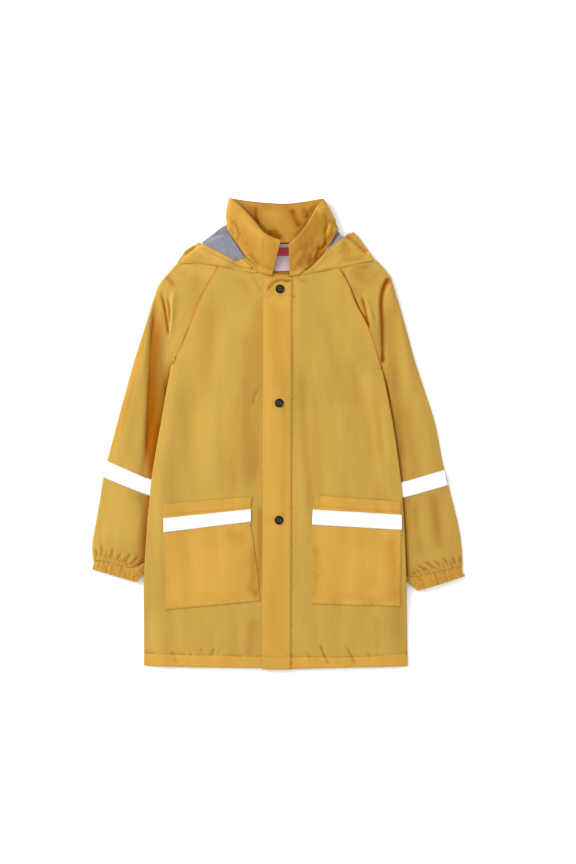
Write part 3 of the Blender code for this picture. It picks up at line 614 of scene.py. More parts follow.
BODY_FOLDS = (
    # path, height, width to its left, width to its right, fading at its ends
    (((-24, 205), (-48, 141), (-64, 66), (-68, -40)), -1.3, 13, 17, 0.25),
    (((-52, 215), (-80, 126), (-95, 51), (-99, -74)), 1.3, 15, 17, 0.25),
    (((-96, 190), (-118, 110), (-128, 40), (-133, -60)), -0.5, 13, 16, 0.3),
    (((-137, 90), (-150, 20), (-158, -60)), 0.3, 14, 14, 0.35),
    (((-30, -10), (-36, -60), (-33, -110)), -0.7, 8, 10, 0.4),
    (((72, 196), (98, 130), (116, 78), (122, 10)), -1.1, 11, 15, 0.3),
    (((52, 205), (74, 130), (92, 60), (98, -40)), 0.9, 12, 12, 0.3),
    (((38, 150), (52, 80), (60, 10), (60, -60)), -0.8, 10, 13, 0.3),
    (((133, 120), (146, 50), (152, -30)), 0.8, 12, 12, 0.35),
    (((150, 60), (160, 0), (166, -60)), -0.7, 9, 9, 0.35),
    (((-90, -275), (-97, -310), (-96, -345)), -0.6, 7, 9, 0.35),
    (((-52, -270), (-47, -300), (-50, -340)), 0.5, 9, 9, 0.35),
    (((95, -268), (103, -300), (100, -342)), 0.6, 10, 10, 0.35),
    (((148, -262), (151, -300), (146, -340)), -0.6, 8, 8, 0.35),
    # short pulls from the snaps and the placket
    (((-22, 196), (-10, 211), (-1, 221)), -0.8, 2.6, 4.5, 0.35),
    (((8, 226), (17, 233), (24, 236)), -0.7, 2.4, 3.6, 0.35),
    (((-24, 232), (-12, 228), (-4, 222)), 0.7, 3.0, 3.0, 0.35),
    (((11, 213), (22, 206), (34, 205)), -0.7, 2.2, 3.4, 0.35),
    (((-5, 203), (6, 203), (16, 208)), -0.5, 2.2, 2.8, 0.35),
    (((-26, 72), (-34, 58), (-38, 40)), -0.7, 2.2, 3.2, 0.4),
    (((-20, -126), (-10, -129), (-5, -130)), -0.6, 2.0, 3.4, 0.35),
    (((3, -118), (10, -121), (14, -127)), -0.8, 1.8, 2.4, 0.3),
    (((8, -131), (14, -136)), -0.6, 1.4, 1.8, 0.3),
    (((-4, 32), (6, 31), (14, 34)), -0.45, 1.8, 2.4, 0.35),
    # the pockets' creases
    (((-44, -156), (-55, -166), (-62, -182)), -0.8, 3.0, 5.0, 0.35),
    (((-39, -190), (-48, -196), (-56, -208)), -0.6, 2.4, 4.0, 0.35),
    (((-28, -246), (-38, -238), (-47, -224)), -0.7, 3.0, 4.5, 0.35),
    (((-54, -262), (-60, -250), (-62, -236)), -0.6, 2.6, 4.0, 0.35),
    (((-31, -214), (-41, -222), (-44, -232)), -0.7, 2.0, 3.2, 0.35),
    (((165, -146), (173, -152), (182, -164)), -0.8, 2.4, 3.4, 0.35),
    (((53, -170), (60, -178), (63, -188)), -0.5, 2.4, 3.4, 0.35),
    (((54, -206), (61, -214), (63, -226)), -0.5, 2.4, 3.4, 0.35),
    (((70, -120), (90, -126), (112, -125)), 0.4, 6, 6, 0.4),
    # slanted pulls at the hem
    (((-92, -318), (-97, -326), (-102, -334)), -0.9, 1.8, 2.4, 0.35),
    (((-84, -319), (-89, -327), (-93, -333)), -0.7, 1.6, 2.2, 0.35),
    (((-112, -320), (-117, -328)), -0.6, 1.6, 2.0, 0.35),
    (((62, -312), (70, -332), (79, -349)), -0.9, 2.0, 3.2, 0.25),
    (((101, -314), (110, -332), (118, -348)), -0.9, 2.0, 3.2, 0.25),
    (((40, -322), (47, -334), (52, -346)), -0.6, 2.0, 2.8, 0.3),
    (((132, -322), (138, -334), (141, -346)), -0.5, 2.0, 2.8, 0.3),
    (((-160, -324), (-154, -336), (-150, -346)), -0.5, 2.0, 2.6, 0.3),
    (((-60, -330), (-52, -340), (-46, -348)), -0.5, 2.0, 2.8, 0.3),
)
BODY_LIGHT_AND_SHADE = (
    # path, how deep the painted shade is (below 0: painted light), width to its left and right, fading
    (((-26, 225), (-25, 150), (-27, 60), (-30, -10), (-27, -90)), 0.3, 4, 10, 0.15),
    (((-36, 190), (-44, 120), (-48, 20), (-46, -110)), 0.3, 10, 14, 0.2),
    (((-27, -100), (-27, -170), (-28, -240)), 0.5, 4, 5, 0.15),
    (((-34, -270), (-42, -300), (-48, -340)), 0.22, 12, 10, 0.2),
    (((-48, 200), (-64, 130), (-74, 50), (-76, -60)), -0.35, 12, 20, 0.25),
    (((-44, 198), (-52, 170), (-58, 140)), -0.22, 8, 8, 0.3),
    (((-64, 60), (-67, -20), (-64, -100)), 0.2, 6, 7, 0.2),
    (((-110, 220), (-100, 170), (-104, 100), (-118, 40)), 0.16, 18, 16, 0.3),
    (((-140, 60), (-120, 20), (-112, -60), (-120, -100)), -0.2, 20, 18, 0.3),
    (((-146, 150), (-154, 110), (-158, 80)), -0.3, 5, 6, 0.3),
    (((-168, 50), (-176, -60), (-184, -200), (-190, -346)), -0.3, 12, 14, 0.1),
    (((-70, -92), (-120, -104), (-160, -112)), -0.25, 6, 9, 0.2),
    (((50, 210), (72, 150), (88, 90), (92, 20)), 0.12, 10, 10, 0.3),
    (((76, 180), (98, 120), (108, 50)), -0.2, 8, 12, 0.3),
    (((34, 110), (37, 50), (40, -20), (46, -90), (48, -134)), 0.25, 7, 6, 0.15),
    (((70, -96), (105, -104), (150, -104)), -0.25, 8, 6, 0.2),
    (((156, 60), (160, 10), (164, -50)), -0.35, 5, 5, 0.25),
    (((150, -60), (165, -120), (178, -200), (180, -340)), 0.22, 6, 16, 0.2),
    (((140, 90), (150, 20), (156, -60)), 0.18, 6, 10, 0.3),
    # painted shade on the facing inside the neck, and on what shows below the placket's top
    (((-16, 240.5), (22, 240.5)), 0.75, 4, 3.2, 0.02),
    (((-66, 236), (-50, 222), (-42, 200)), 0.14, 6, 6, 0.3),
    (((-40, 236), (-32, 226), (-26, 212)), 0.25, 2.4, 2.4, 0.2),
    (((28, 236), (34, 230), (44, 228)), 0.25, 2.4, 2.4, 0.2),
    *RAGLAN_SHADE,
)


# %% The back and the fronts
def below_hem_seam(x, y):
    """How far each point is below the hem's seam, along Y."""
    return np.interp(x, HEM_LINE[:, 0], HEM_LINE[:, 1]) - y


def body_form(x, y, sides):
    z = creases(x, y, BODY_FOLDS) + drift(x, y, 0.42, 3)
    z += sum(puckers(x, y, *row) for row in BODY_PUCKERS)
    gap = nearest(x, y, HEM_LINE)[0]
    (rise, rise_width), (groove, groove_width) = HEM_RISE, HEM_GROOVE
    z += np.where(below_hem_seam(x, y) < 0, 0.0, rise * ease(0, rise_width, gap))
    return z - groove * bell(gap, groove_width)


def fronts_doubled(x, y):
    """Where the fronts are in two layers: the hem, and a little beside the raglan seams."""
    hem = ease(-0.5, 0.5, below_hem_seam(x, y))
    seams = np.minimum(*(nearest(x, y, line)[0] for line in RAGLANS))
    return np.maximum(hem, 0.5 * (1 - ease(3, 9, seams)))


def flat_form(x, y, sides):
    return x * 0


CLOTH_SLOT, DOUBLE_SLOT, TAPE_SLOT = "coated_cloth", "doubled_cloth", "reflective_tape"
UNDERARM_Y = 100.0
TURNED = (3.0, 0.9, UNDERARM_Y)  # the body's side, below the underarm
# painted shade on the back panel across the neck, just above the fronts' edge
NECK_SHADE = ((-30, 240), (0, 240), (40, 240)), 0.6, 9, 9, 0.05
front_rolls = {
    "front_right": {"left": TURNED, "right": EDGE, "top": EDGE, "bottom": EDGE},
    "front_left": {"left": EDGE, "right": TURNED, "top": EDGE, "bottom": EDGE},
}
add_panel(
    "back_panel", CLOTH_SLOT, WALL, flat_form, doubled=0.0, on=("floor",), cell=5.0,
    light_and_shade=(NECK_SHADE,), grow=-0.6,
)
for name, rolls in front_rolls.items():
    add_panel(
        name, CLOTH_SLOT, WALL, body_form, rolls=rolls, doubled=fronts_doubled, light_and_shade=BODY_LIGHT_AND_SHADE,
        on=("back_panel_cloth",), grow=GROW, cell=2.2, sharp=CRISP,
    )

# %% [markdown]
# ## The placket, the pockets and their tapes
#
# The placket is a strip of two layers, sewn to the wearer's left front along one edge and free
# along the other, where it laps over the other front. The patch pockets are sewn down on three
# sides. A strip of white reflective tape runs across each below its mouth.

# %% Placket and pockets
SNAP_NODES = ("snap_1", "snap_2", "snap_3")
SNAPS = [(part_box(node)[0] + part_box(node)[1]) / 2 / MM for node in SNAP_NODES]
POCKET_BAND = 17.0  # the pocket's hemmed mouth, down to the tape
POCKET_SEWN = (3.6, 0.8)  # a pocket's sewn-down edge
TAPE_EDGE_SHADE = 0.5  # painted shade along the tapes' edges: how grey
PLACKET_FOLDS = (
    # path, height, width to its left, width to its right, fading at its ends
    (((-17, 211), (-13, 219), (-6, 227), (3, 230.5), (13, 229), (24, 231)), -0.7, 2.0, 2.6, 0.2),
    (((-13, 208), (-9, 216), (-3, 223)), 0.45, 2.0, 2.0, 0.3),
    (((-9, 206.5), (-2, 207.5), (8, 206)), -0.4, 1.6, 2.0, 0.35),
    (((9, 222), (15, 226), (21, 226)), 0.4, 1.6, 1.8, 0.3),
)
PLACKET_LIGHT_AND_SHADE = (
    # path, how deep the painted shade is (below 0: painted light), width to its left, width to its
    # right, fading at its ends
    (((-17, 210), (-13, 219), (-6, 227), (3, 230.5), (13, 229), (24, 231)), 0.5, 2.6, 3.2, 0.15),
    (((8, 120), (10, 0), (6, -100), (6, -340)), 0.12, 6, 6, 0.2),
    (((-14, 160), (-16, 0), (-16, -200)), -0.12, 6, 6, 0.2),
    (((3, 200), (3, 130), (2, 60)), 0.14, 14, 14, 0.2),
)


def placket_form(x, y, sides):
    """The snaps press the placket in, and short waves stand in a ring around each."""
    z = creases(x, y, PLACKET_FOLDS) + drift(x * 2, y * 2, 0.12, 4)
    z += puckers(x, y, PLACKET_SEAM, 0.26, 9.0, 5.0, 0.7, 31)
    for seed, snap in enumerate(SNAPS):
        away = np.hypot(x - snap.x, y - snap.y)
        turn = np.arctan2(y - snap.y, x - snap.x)
        z += 0.3 * bell(away - 10, 3.5) * ripple(turn * 9, 14.0, 200 + seed)
        z -= 0.4 * bell(away, 8.0)
    return z


def pocket_form(x, y, sides):
    """A pocket is held down at its seams and stands a little off the coat inside them."""
    gaps = {name: nearest(x, y, sides[name])[0] for name in sides}
    seam = np.minimum(np.minimum(gaps["left"], gaps["right"]), gaps["bottom"])
    z = 1.0 * ease(0.5, 22, seam) + 0.35 * ease(12, 0, gaps["top"]) * ease(0, 14, seam)
    for seed, name in enumerate(("left", "right", "bottom")):
        z += puckers(x, y, sides[name], 0.3, 9.0, 5.0, 0.5, 40 + seed)
    return z - 0.25 * bell(gaps["top"] - POCKET_BAND, 1.5)


# %% Sew on the placket, the pockets and their tapes
POCKET_MOVES = {"right": (((-163, -104), (-169.2, -105.0)),), "left": ()}
# painted light and shade: path, how deep (below 0: painted light), width to its left and right, fading
POCKET_LIGHT_AND_SHADE = (
    (((-34, -160), (-36, -200), (-30, -255)), 0.35, 5, 6, 0.15),
    (((-84, -146), (-68, -151), (-48, -153)), 0.18, 6, 8, 0.3),
    (((84, -250), (112, -254), (140, -252)), -0.45, 5, 5, 0.2),
    (((-150, -250), (-110, -252), (-70, -256)), -0.2, 6, 8, 0.2),
    (((-28, -246), (-40, -236), (-50, -222)), 0.2, 5, 5, 0.3),
    (((-100, -160), (-104, -200), (-110, -250)), -0.2, 24, 24, 0.25),
    (((120, -160), (118, -200), (112, -250)), -0.18, 26, 26, 0.25),
    (((168, -150), (174, -200), (176, -255)), 0.26, 8, 12, 0.12),
    (((56, -160), (58, -200), (56, -250)), 0.16, 8, 5, 0.15),
)
placket_rolls = {"left": (1.6, 0.5), "right": (4.5, 1.45), "top": EDGE, "bottom": EDGE}
add_panel(
    "placket", DOUBLE_SLOT, DOUBLE_WALL, placket_form, rolls=placket_rolls, cell=2.0, doubled=0.8,
    on=("front_right_cloth", "front_left_cloth"), lift=DOUBLE_WALL + 0.15, light_and_shade=PLACKET_LIGHT_AND_SHADE,
    edge_shade=0.12,
)
for side in ("right", "left"):
    add_panel(
        f"pocket_{side}", DOUBLE_SLOT, WALL, pocket_form, doubled=0.8, lift=WALL + 0.15,
        rolls={"left": POCKET_SEWN, "right": POCKET_SEWN, "bottom": POCKET_SEWN, "top": (1.4, 0.5)},
        on=(f"front_{side}_cloth",), light_and_shade=POCKET_LIGHT_AND_SHADE, moves=POCKET_MOVES[side], edge_shade=0.15,
    )
    add_panel(
        f"pocket_tape_{side}", TAPE_SLOT, TAPE_WALL, flat_form, lift=TAPE_WALL + 0.2,
        on=(f"pocket_{side}_cloth",), edge_shade=TAPE_EDGE_SHADE,
    )

# %% [markdown]
# ## The sleeves
#
# A raglan sleeve runs up to the neck. Laid down beside the body, it breaks at the shoulder into
# a few sharp folds that run down the arm and fade. Elastic gathers it into the cuff, so short
# deep folds stand above the cuff's seam.

# %% Folds of the sleeves
RIGHT_FOLD = ((-177, 223), (-182, 197), (-187, 168), (-191, 118), (-194, 60), (-199, -60))
LEFT_FOLD = ((91.5, 247), (105, 224), (114, 203), (123, 184), (131, 172), (137, 154))
SLEEVE_FOLDS = {
    "right": (
        (RIGHT_FOLD, -2.3, 7, 3.5, 0.2),
        (((-186, 206), (-193, 172), (-199, 130), (-204, 70)), 0.9, 4, 8, 0.25),
        (((-175.5, 215), (-172, 200), (-167, 174), (-163, 144)), -1.3, 2.2, 2.6, 0.2),
        (((-170, 212), (-165, 190), (-162, 165)), 0.8, 1.8, 1.8, 0.3),
        (((-157, 220), (-158, 184), (-161, 138)), 1.1, 3, 3, 0.25),
        (((-166, 206), (-162, 186), (-161, 160)), -0.8, 1.8, 1.8, 0.3),
        (((-170, 237), (-161, 230), (-156, 219)), -0.6, 4.5, 4.5, 0.3),
        (((-140, 214), (-150, 190), (-156, 160)), -0.6, 8, 8, 0.35),
        (((-128, 246), (-140, 238), (-154, 240)), -0.5, 3, 5, 0.35),
        (((-120, 226), (-128, 220), (-140, 222)), 0.4, 4, 4, 0.35),
        (((-176, 75), (-188, 20), (-199, -50), (-207, -140)), -1.3, 7, 6, 0.2),
        (((-205, 120), (-225, 30), (-240, -60)), 0.9, 12, 12, 0.3),
        (((-214, -60), (-224, -110), (-232, -160)), -0.7, 9, 9, 0.3),
        (((-245, -70), (-250, -120), (-255, -170)), 0.5, 8, 8, 0.3),
        (((-262, -120), (-266, -150), (-262, -176)), -0.5, 3, 3, 0.3),
    ),
    "left": (
        (LEFT_FOLD, -2.0, 2.4, 2.2, 0.12),
        (((124, 208), (130, 188), (138, 153)), -1.3, 2.0, 2.4, 0.25),
        (((118, 212), (126, 196), (133, 176)), 0.8, 2.2, 2.0, 0.3),
        (((128, 216), (137, 188), (143, 156)), 0.9, 3.2, 2.6, 0.3),
        (((166, 236), (159, 224), (154.5, 206), (155, 168), (156.5, 104)), -2.3, 8, 2.2, 0.06),
        (((150, 210), (150, 180), (152, 150)), 0.9, 3, 3, 0.3),
        (((172, 224), (166, 214), (164, 202)), 0.6, 2, 2, 0.3),
        (((164, 196), (168, 160), (176, 110), (184, 60)), -1.0, 9, 7, 0.25),
        (((176, 60), (186, 0), (194, -60), (200, -140)), -1.1, 6, 8, 0.2),
        (((185, 150), (205, 70), (222, 0)), 0.9, 11, 11, 0.3),
        (((224, -60), (238, -110), (246, -170)), -1.0, 10, 8, 0.3),
        (((208, -60), (214, -110), (220, -170)), 0.8, 9, 9, 0.3),
        (((140, 240), (150, 235), (160, 232)), -0.7, 4, 6, 0.35),
        (((110, 252), (128, 250), (146, 254)), -0.4, 3, 5, 0.35),
    ),
}
# painted light and shade: path, how deep (below 0: painted light), width to its left and right, fading
SLEEVE_LIGHT_AND_SHADE = {
    "right": (
        (
            ((-178, 223), (-183, 200), (-188, 168), (-191, 118), (-194, 60), (-199, -60)),
            0.65, 8.0, 2.4, 0.3,
        ),
        (((-179, 207), (-181, 150), (-185, 90), (-189, 20), (-193, -80)), 0.6, 12, 7, 0.22),
        (((-198, -70), (-202, -140), (-205, -186)), 0.12, 6, 6, 0.15),
        (((-176, 216), (-172.5, 202), (-167, 174), (-163, 144)), 0.55, 2.4, 2.6, 0.12),
        (((-170, 236), (-160, 229), (-156, 216)), 0.32, 4.5, 5, 0.25),
        (((-166, 206), (-163, 186), (-162, 160)), 0.35, 2, 2, 0.25),
        (((-156.5, 219), (-158.5, 184), (-161.5, 138)), -0.35, 2.2, 2.4, 0.2),
        (((-150, 252), (-124, 246), (-90, 238)), -0.22, 7, 7, 0.25),
        (((-130, 246), (-118, 210), (-136, 170)), 0.1, 14, 14, 0.3),
        (((-171, 232), (-190, 190), (-205, 130), (-222, 60), (-240, -20)), 0.3, 4, 5, 0.3),
        (((-222, 80), (-238, 10), (-246, -40)), 0.1, 8, 8, 0.3),
        (((-210, -96), (-213, -130), (-216, -168)), -0.35, 6, 8, 0.2),
        (((-236, -80), (-244, -130), (-250, -170)), -0.3, 14, 14, 0.3),
        (((-206, 150), (-222, 100), (-236, 40)), -0.1, 5, 7, 0.25),
        *RAGLAN_SHADE,
    ),
    "left": (
        (LEFT_FOLD, 0.8, 2.8, 2.0, 0.08),
        (((124, 208), (130, 188), (138, 153)), 0.5, 2.4, 2.4, 0.2),
        (((106, 228), (118, 204), (132, 176)), 0.2, 8, 2, 0.2),
        (((166.5, 236), (158.5, 222), (154.5, 204), (155.5, 168), (157, 104)), 0.85, 2.6, 1.9, 0.03),
        (((165, 214), (168, 165), (170, 115), (174, 50)), 0.36, 12, 8, 0.25),
        (((172, 90), (181, 30), (190, -50)), 0.2, 10, 6, 0.2),
        (((186, 60), (196, 0), (206, -70), (212, -150)), 0.2, 12, 10, 0.2),
        (((228, -80), (236, -120), (242, -180)), 0.34, 10, 8, 0.2),
        (((205, -96), (209, -140), (214, -190)), 0.22, 8, 7, 0.2),
        (((212, -90), (216, -130), (224, -170)), -0.15, 7, 7, 0.3),
        (((176, 210), (186, 160), (200, 110), (214, 60)), -0.1, 6, 6, 0.3),
        (((222, 70), (234, 20), (244, -40)), -0.2, 6, 6, 0.3),
        (((104, 246), (124, 236), (150, 222)), 0.24, 12, 10, 0.25),
        (((120, 252), (138, 248), (158, 246)), 0.15, 7, 8, 0.3),
        *RAGLAN_SHADE,
    ),
}
SHADE_BESIDE_BODY = {
    # painted shade on the sleeve just beside the body's edge, where the body shades it: how dark and
    # how wide, twice
    "right": ((0.5, 9.0), (0.25, 20.0)),
    "left": ((0.85, 2.4), (0.3, 12.0)),
}
GATHERS = {
    # where each starts above the cuff, its other end, height, width
    "right": (
        ((-273, -188), (-275, -170), -1.0, 1.2),
        ((-268, -189), (-266, -162), -1.2, 1.3),
        ((-263, -190), (-256, -172), -0.9, 1.1),
        ((-258, -190), (-246, -168), -1.3, 1.3),
        ((-253, -191), (-246, -180), -0.9, 1.1),
        ((-248, -192), (-234, -174), -1.2, 1.3),
        ((-243, -194), (-233, -184), -0.9, 1.1),
        ((-238, -195), (-219, -174), -1.3, 1.4),
        ((-233, -197), (-222, -188), -1.0, 1.1),
        ((-228, -199), (-208, -178), -1.3, 1.4),
        ((-222, -200), (-208, -190), -1.0, 1.2),
        ((-217, -201), (-201, -186), -1.3, 1.4),
        ((-211, -201), (-199, -193), -1.2, 1.3),
    ),
    "left": (
        ((272, -199), (270, -178), -1.1, 1.2),
        ((266, -200), (258, -182), -1.2, 1.3),
        ((261, -201), (257, -188), -0.9, 1.1),
        ((256, -202), (244, -184), -1.2, 1.3),
        ((251, -203), (244, -193), -0.9, 1.1),
        ((246, -205), (230, -188), -1.2, 1.3),
        ((240, -206), (230, -197), -0.9, 1.1),
        ((235, -207), (216, -190), -1.2, 1.3),
        ((229, -209), (216, -200), -1.0, 1.1),
        ((223, -210), (206, -196), -1.2, 1.3),
        ((217, -211), (204, -204), -1.0, 1.1),
        ((210, -212), (200, -208), -1.0, 1.1),
    ),
}
CUFF_LINES = {
    # the cuffs' seams and their lower edges, from the wearer's right to the left
    "right": (
        ((-277.0, -189.0), (-262.0, -190.5), (-250.0, -192.5), (-233.0, -197.5), (-216.0, -200.0),
         (-203.0, -194.0), (-193.0, -189.0)),
        ((-279.5, -202.5), (-256.0, -209.0), (-232.0, -216.0), (-211.5, -222.0), (-206.0, -215.0),
         (-200.0, -207.5), (-194.0, -202.0)),
    ),
    "left": (
        ((184.0, -206.0), (194.0, -212.5), (206.0, -213.5), (220.0, -210.5), (243.0, -205.0),
         (262.0, -200.5), (276.6, -198.5)),
        ((187.0, -212.0), (192.0, -218.0), (200.0, -227.0), (208.5, -235.0), (232.0, -228.5),
         (256.0, -221.0), (280.5, -213.0)),
    ),
}
CORNERS = {
    # top left, top right, bottom right and bottom left
    "sleeve_right": ((-68.0, 288.5), (-159.6, 104.6), (-191.0, -189.0), (-277.0, -189.0)),
    "sleeve_left": ((156.6, 96.1), (74.6, 279.1), (276.6, -199.0), (184.0, -202.0)),
    "cuff_right": ((-277.0, -189.6), (-191.0, -189.6), (-194.0, -206.5), (-280.8, -202.0)),
    "cuff_left": ((184.0, -202.6), (276.6, -199.6), (280.8, -213.5), (187.0, -219.0)),
}


# %% How a sleeve lies
def beside(x, y, side):
    """How far a point is from the body's side edge: below 0 where the body covers it."""
    line = made[f"front_{side}_cloth"]["sides"]["left" if side == "right" else "right"]
    gap, way, _ = nearest(x, y, line[line[:, 1] < UNDERARM_Y + 4])
    return np.where(way > 0, -gap, gap)


BEND = 0.12  # how much a gather bends towards the sleeve's middle


def gathers(x, y, side, height, left, right, fade):
    """The gathers above a cuff, with their heights and widths times so much."""
    rows = []
    for (ax, ay), (bx, by), deep, wide in GATHERS[side]:
        middle = ((ax + bx) / 2 + BEND * (by - ay), (ay + by) / 2 - BEND * (bx - ax))
        rows.append((((ax, ay), middle, (bx, by)), height * deep, wide * left, wide * right, fade))
    return creases(x, y, rows)


def sleeve_form(side):
    def form(x, y, sides):
        z = creases(x, y, SLEEVE_FOLDS[side]) + drift(x, y, 0.35, 5)
        z += gathers(x, y, side, 0.9, 1.5, 2.0, 0.4)
        gap, _, along = nearest(x, y, sides["bottom"])
        z += np.exp(-gap / 6) * (0.5 * ripple(along + 0.6 * gap, 6.0, 51) - 0.3)
        z += puckers(x, y, sides["top"], 0.25, 10.0, 6.0, 0.6, 52)
        hidden = ease(4.0, -2.0, beside(x, y, side)) * ease(UNDERARM_Y + 24, UNDERARM_Y + 4, y)
        return z * (1 - hidden) + np.minimum(z, 0) * hidden

    return form


# painted light and shade of a sleeve: its table, painted shade in the gathers, above the cuff's seam
# and beside the body
def sleeve_shading(side):
    def tone(x, y):
        total = creases(x, y, SLEEVE_LIGHT_AND_SHADE[side])
        total += np.minimum(gathers(x, y, side, -0.14, 1.4, 1.8, 0.3), 0.4)
        total += 0.12 * bell(nearest(x, y, np.array(CUFF_LINES[side][0]))[0], 13)
        gap = np.abs(beside(x, y, side))
        below = ease(UNDERARM_Y + 30, UNDERARM_Y - 30, y)
        for deep, wide in SHADE_BESIDE_BODY[side]:
            total += deep * bell(gap, wide) * below
        return total

    return tone


CUFF_MIDDLE = 8.0  # from a cuff's edge to its middle


def cuff_form(x, y, sides):
    """Gathers run across the elastic and are held flat at both of its edges."""
    gap, _, along = nearest(x, y, sides["bottom"])
    z = 0.34 * ripple(along, 7.0, 61) + 0.2 * ripple(along + 0.6 * gap, 3.9, 62)
    return z + 0.35 * bell(gap - CUFF_MIDDLE, 4.5)


# a cuff's mark: a deeper tone all over, and painted shade in slanting stripes across its gathers
def cuff_shading(x, y):
    return 0.2 + 0.14 * np.clip(ripple(x * 0.95 + y * 0.4, 8.0, 64), -0.4, 1)


# %% Sleeves, cuffs and their tapes
SHOULDERS = {
    "right": (((-147.5, 252.0), (-152.5, 253.5)), ((-167.0, 234.5), (-168.5, 236.0))),
    "left": (((143.0, 254.5), (148.5, 258.5)), ((157.5, 248.0), (157.5, 248.5))),
}
TAPE_ENDS = {
    # the tape's inner end, which runs on under the body's edge
    "right": {"right": ((-189.0, -93.5), (-188.0, -68.5))},
    "left": {"left": ((183.0, -72.0), (185.5, -96.0))},
}
TAPE_LAP_SHADE = {
    # painted shade along the step where the tape's two ends lap over each other
    "right": (((((-199.5, -52.0), (-198.0, -100.0)), 0.55, 0.9, 0.9, 0.01)),),
    "left": (((((251.0, -50.0), (253.5, -90.0)), 0.55, 0.9, 0.9, 0.01)),),
}
for side in ("right", "left"):
    sleeve, cuff = f"sleeve_{side}", f"cuff_{side}"
    seam, edge = CUFF_LINES[side]
    add_tube(
        sleeve, CLOTH_SLOT, WALL, sleeve_form(side), CORNERS[sleeve], {"bottom": seam},
        sleeve_shading(side), cell=2.35, moves=SHOULDERS[side],
    )
    cuff_seam = tuple((x, y - 0.3) for x, y in seam[::-1])
    add_tube(
        cuff, DOUBLE_SLOT, WALL, cuff_form, CORNERS[cuff], {"top": cuff_seam, "bottom": edge},
        cuff_shading, cell=1.2, doubled=1.0,
    )
    add_panel(
        f"sleeve_tape_{side}", TAPE_SLOT, TAPE_WALL, flat_form, lift=TAPE_WALL + 0.2,
        on=(f"{sleeve}_cloth",), new_sides=TAPE_ENDS[side], edge_shade=TAPE_EDGE_SHADE, cell=1.2,
        light_and_shade=TAPE_LAP_SHADE[side],
    )

# %% [markdown]
# ## The hood, its lining and the label
#
# The hood is folded away under the back of the neck, and shows only at its front edges: they
# come up over the shoulders and run to the throat. Behind the collar its grey marl lining looks
# out. Where its folded layers end, the rim has a lip for each of them.

# %% The folded hood
HOOD_LAYERS = 3
HOOD_HEIGHT = (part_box("hood_back")[1].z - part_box("hood_back")[0].z) / MM
HOOD_CELL = 4.0
HOOD_TURN = 2.2  # the folded cloth turns in at its rim
HOOD_START = (137.0, 215.0)  # the rim is gone round from its corner under the left shoulder


def rim_profile():
    """How far in from the outline and how high the rim is: a lip for each layer, and flat ends."""
    layer = HOOD_HEIGHT / HOOD_LAYERS
    profile = [(60.0, 0.0), (12.0, 0.0), (HOOD_TURN + 1.6, 0.0)]
    for k in range(HOOD_LAYERS):
        step, low = HOOD_TURN + 0.5 * k, k * layer
        profile += [(step + 0.4, low + 0.04), (step, low + layer * 0.3)]
        profile += [(step, low + layer * 0.7), (step + 0.5, low + layer * 0.97)]
    return profile + [(HOOD_TURN + 4.0, HOOD_HEIGHT), (12.0, HOOD_HEIGHT), (60.0, HOOD_HEIGHT)]


def add_folded_hood():
    bm = merged("hood_back")
    outline = outline_of(max(islands_facing(bm, 1), key=height_of))
    bm.free()
    outline = np.roll(outline, -np.linalg.norm(outline - HOOD_START, axis=1).argmin(), axis=0)
    closed = smooth_curve(np.vstack([outline, outline[:1]]), sharp=179)
    count = round(lengths_along(closed)[-1] / HOOD_CELL)
    rim = at(closed, np.arange(count) / count)
    centre = rim.mean(0)
    outwards = rim - centre
    reach = np.linalg.norm(outwards, axis=1, keepdims=True)
    rings = []
    for step, z in rim_profile():
        ring = centre + outwards * (1 - np.minimum(step / reach, 0.9))
        rings.append(np.column_stack([ring, np.full(count, z)]))
    rows = len(rings)
    faces = grid_faces(rows, count, closed=True)[:, ::-1].tolist()
    faces += [list(range(count))[::-1], list(range((rows - 1) * count, rows * count))]
    mesh = bpy.data.meshes.new("hood_back_cloth")
    mesh.from_pydata((np.concatenate(rings) * MM).tolist(), [], faces)
    mesh.shade_smooth()
    for key in ("hollow", "doubled", "shade"):
        mesh.attributes.new(key, "FLOAT", "POINT")  # 0 all over
    piece = new_object(mesh.name, mesh)
    made[piece.name] = {"object": piece}
    x, y = outwards.T
    area = abs((x * np.roll(y, -1) - np.roll(x, -1) * y).sum() / 2)
    declare(piece, "hood_back", CLOTH_SLOT, np.ptp(rim, axis=0), area, ("floor",))


add_folded_hood()

# %% Folds of the hood's sides
HOOD_FOLDS = {
    "right": (
        (((-114, 282), (-92, 271), (-66, 257), (-40, 245)), -0.5, 3, 5, 0.3),
        (((-128, 268), (-104, 262), (-78, 253)), -1.1, 5, 4, 0.3),
        (((-120, 276), (-92, 262), (-64, 250)), 0.9, 4, 5, 0.3),
        (((-146, 258), (-120, 258), (-96, 254)), -0.6, 5, 4, 0.35),
        (((-75, 252), (-58, 249), (-45, 244)), -0.7, 2, 3, 0.35),
    ),
    "left": (
        (((92, 287), (100, 268), (99, 254)), -0.45, 4, 6, 0.3),
        (((64, 262), (88, 274), (103, 292)), 0.6, 5, 6, 0.35),
        (((140, 262), (120, 262), (100, 257), (80, 250)), -1.0, 4, 5, 0.3),
        (((134, 268), (116, 266), (102, 262)), 0.8, 4, 4, 0.3),
        (((45, 243), (62, 250), (78, 258)), -0.4, 3, 4, 0.35),
    ),
}
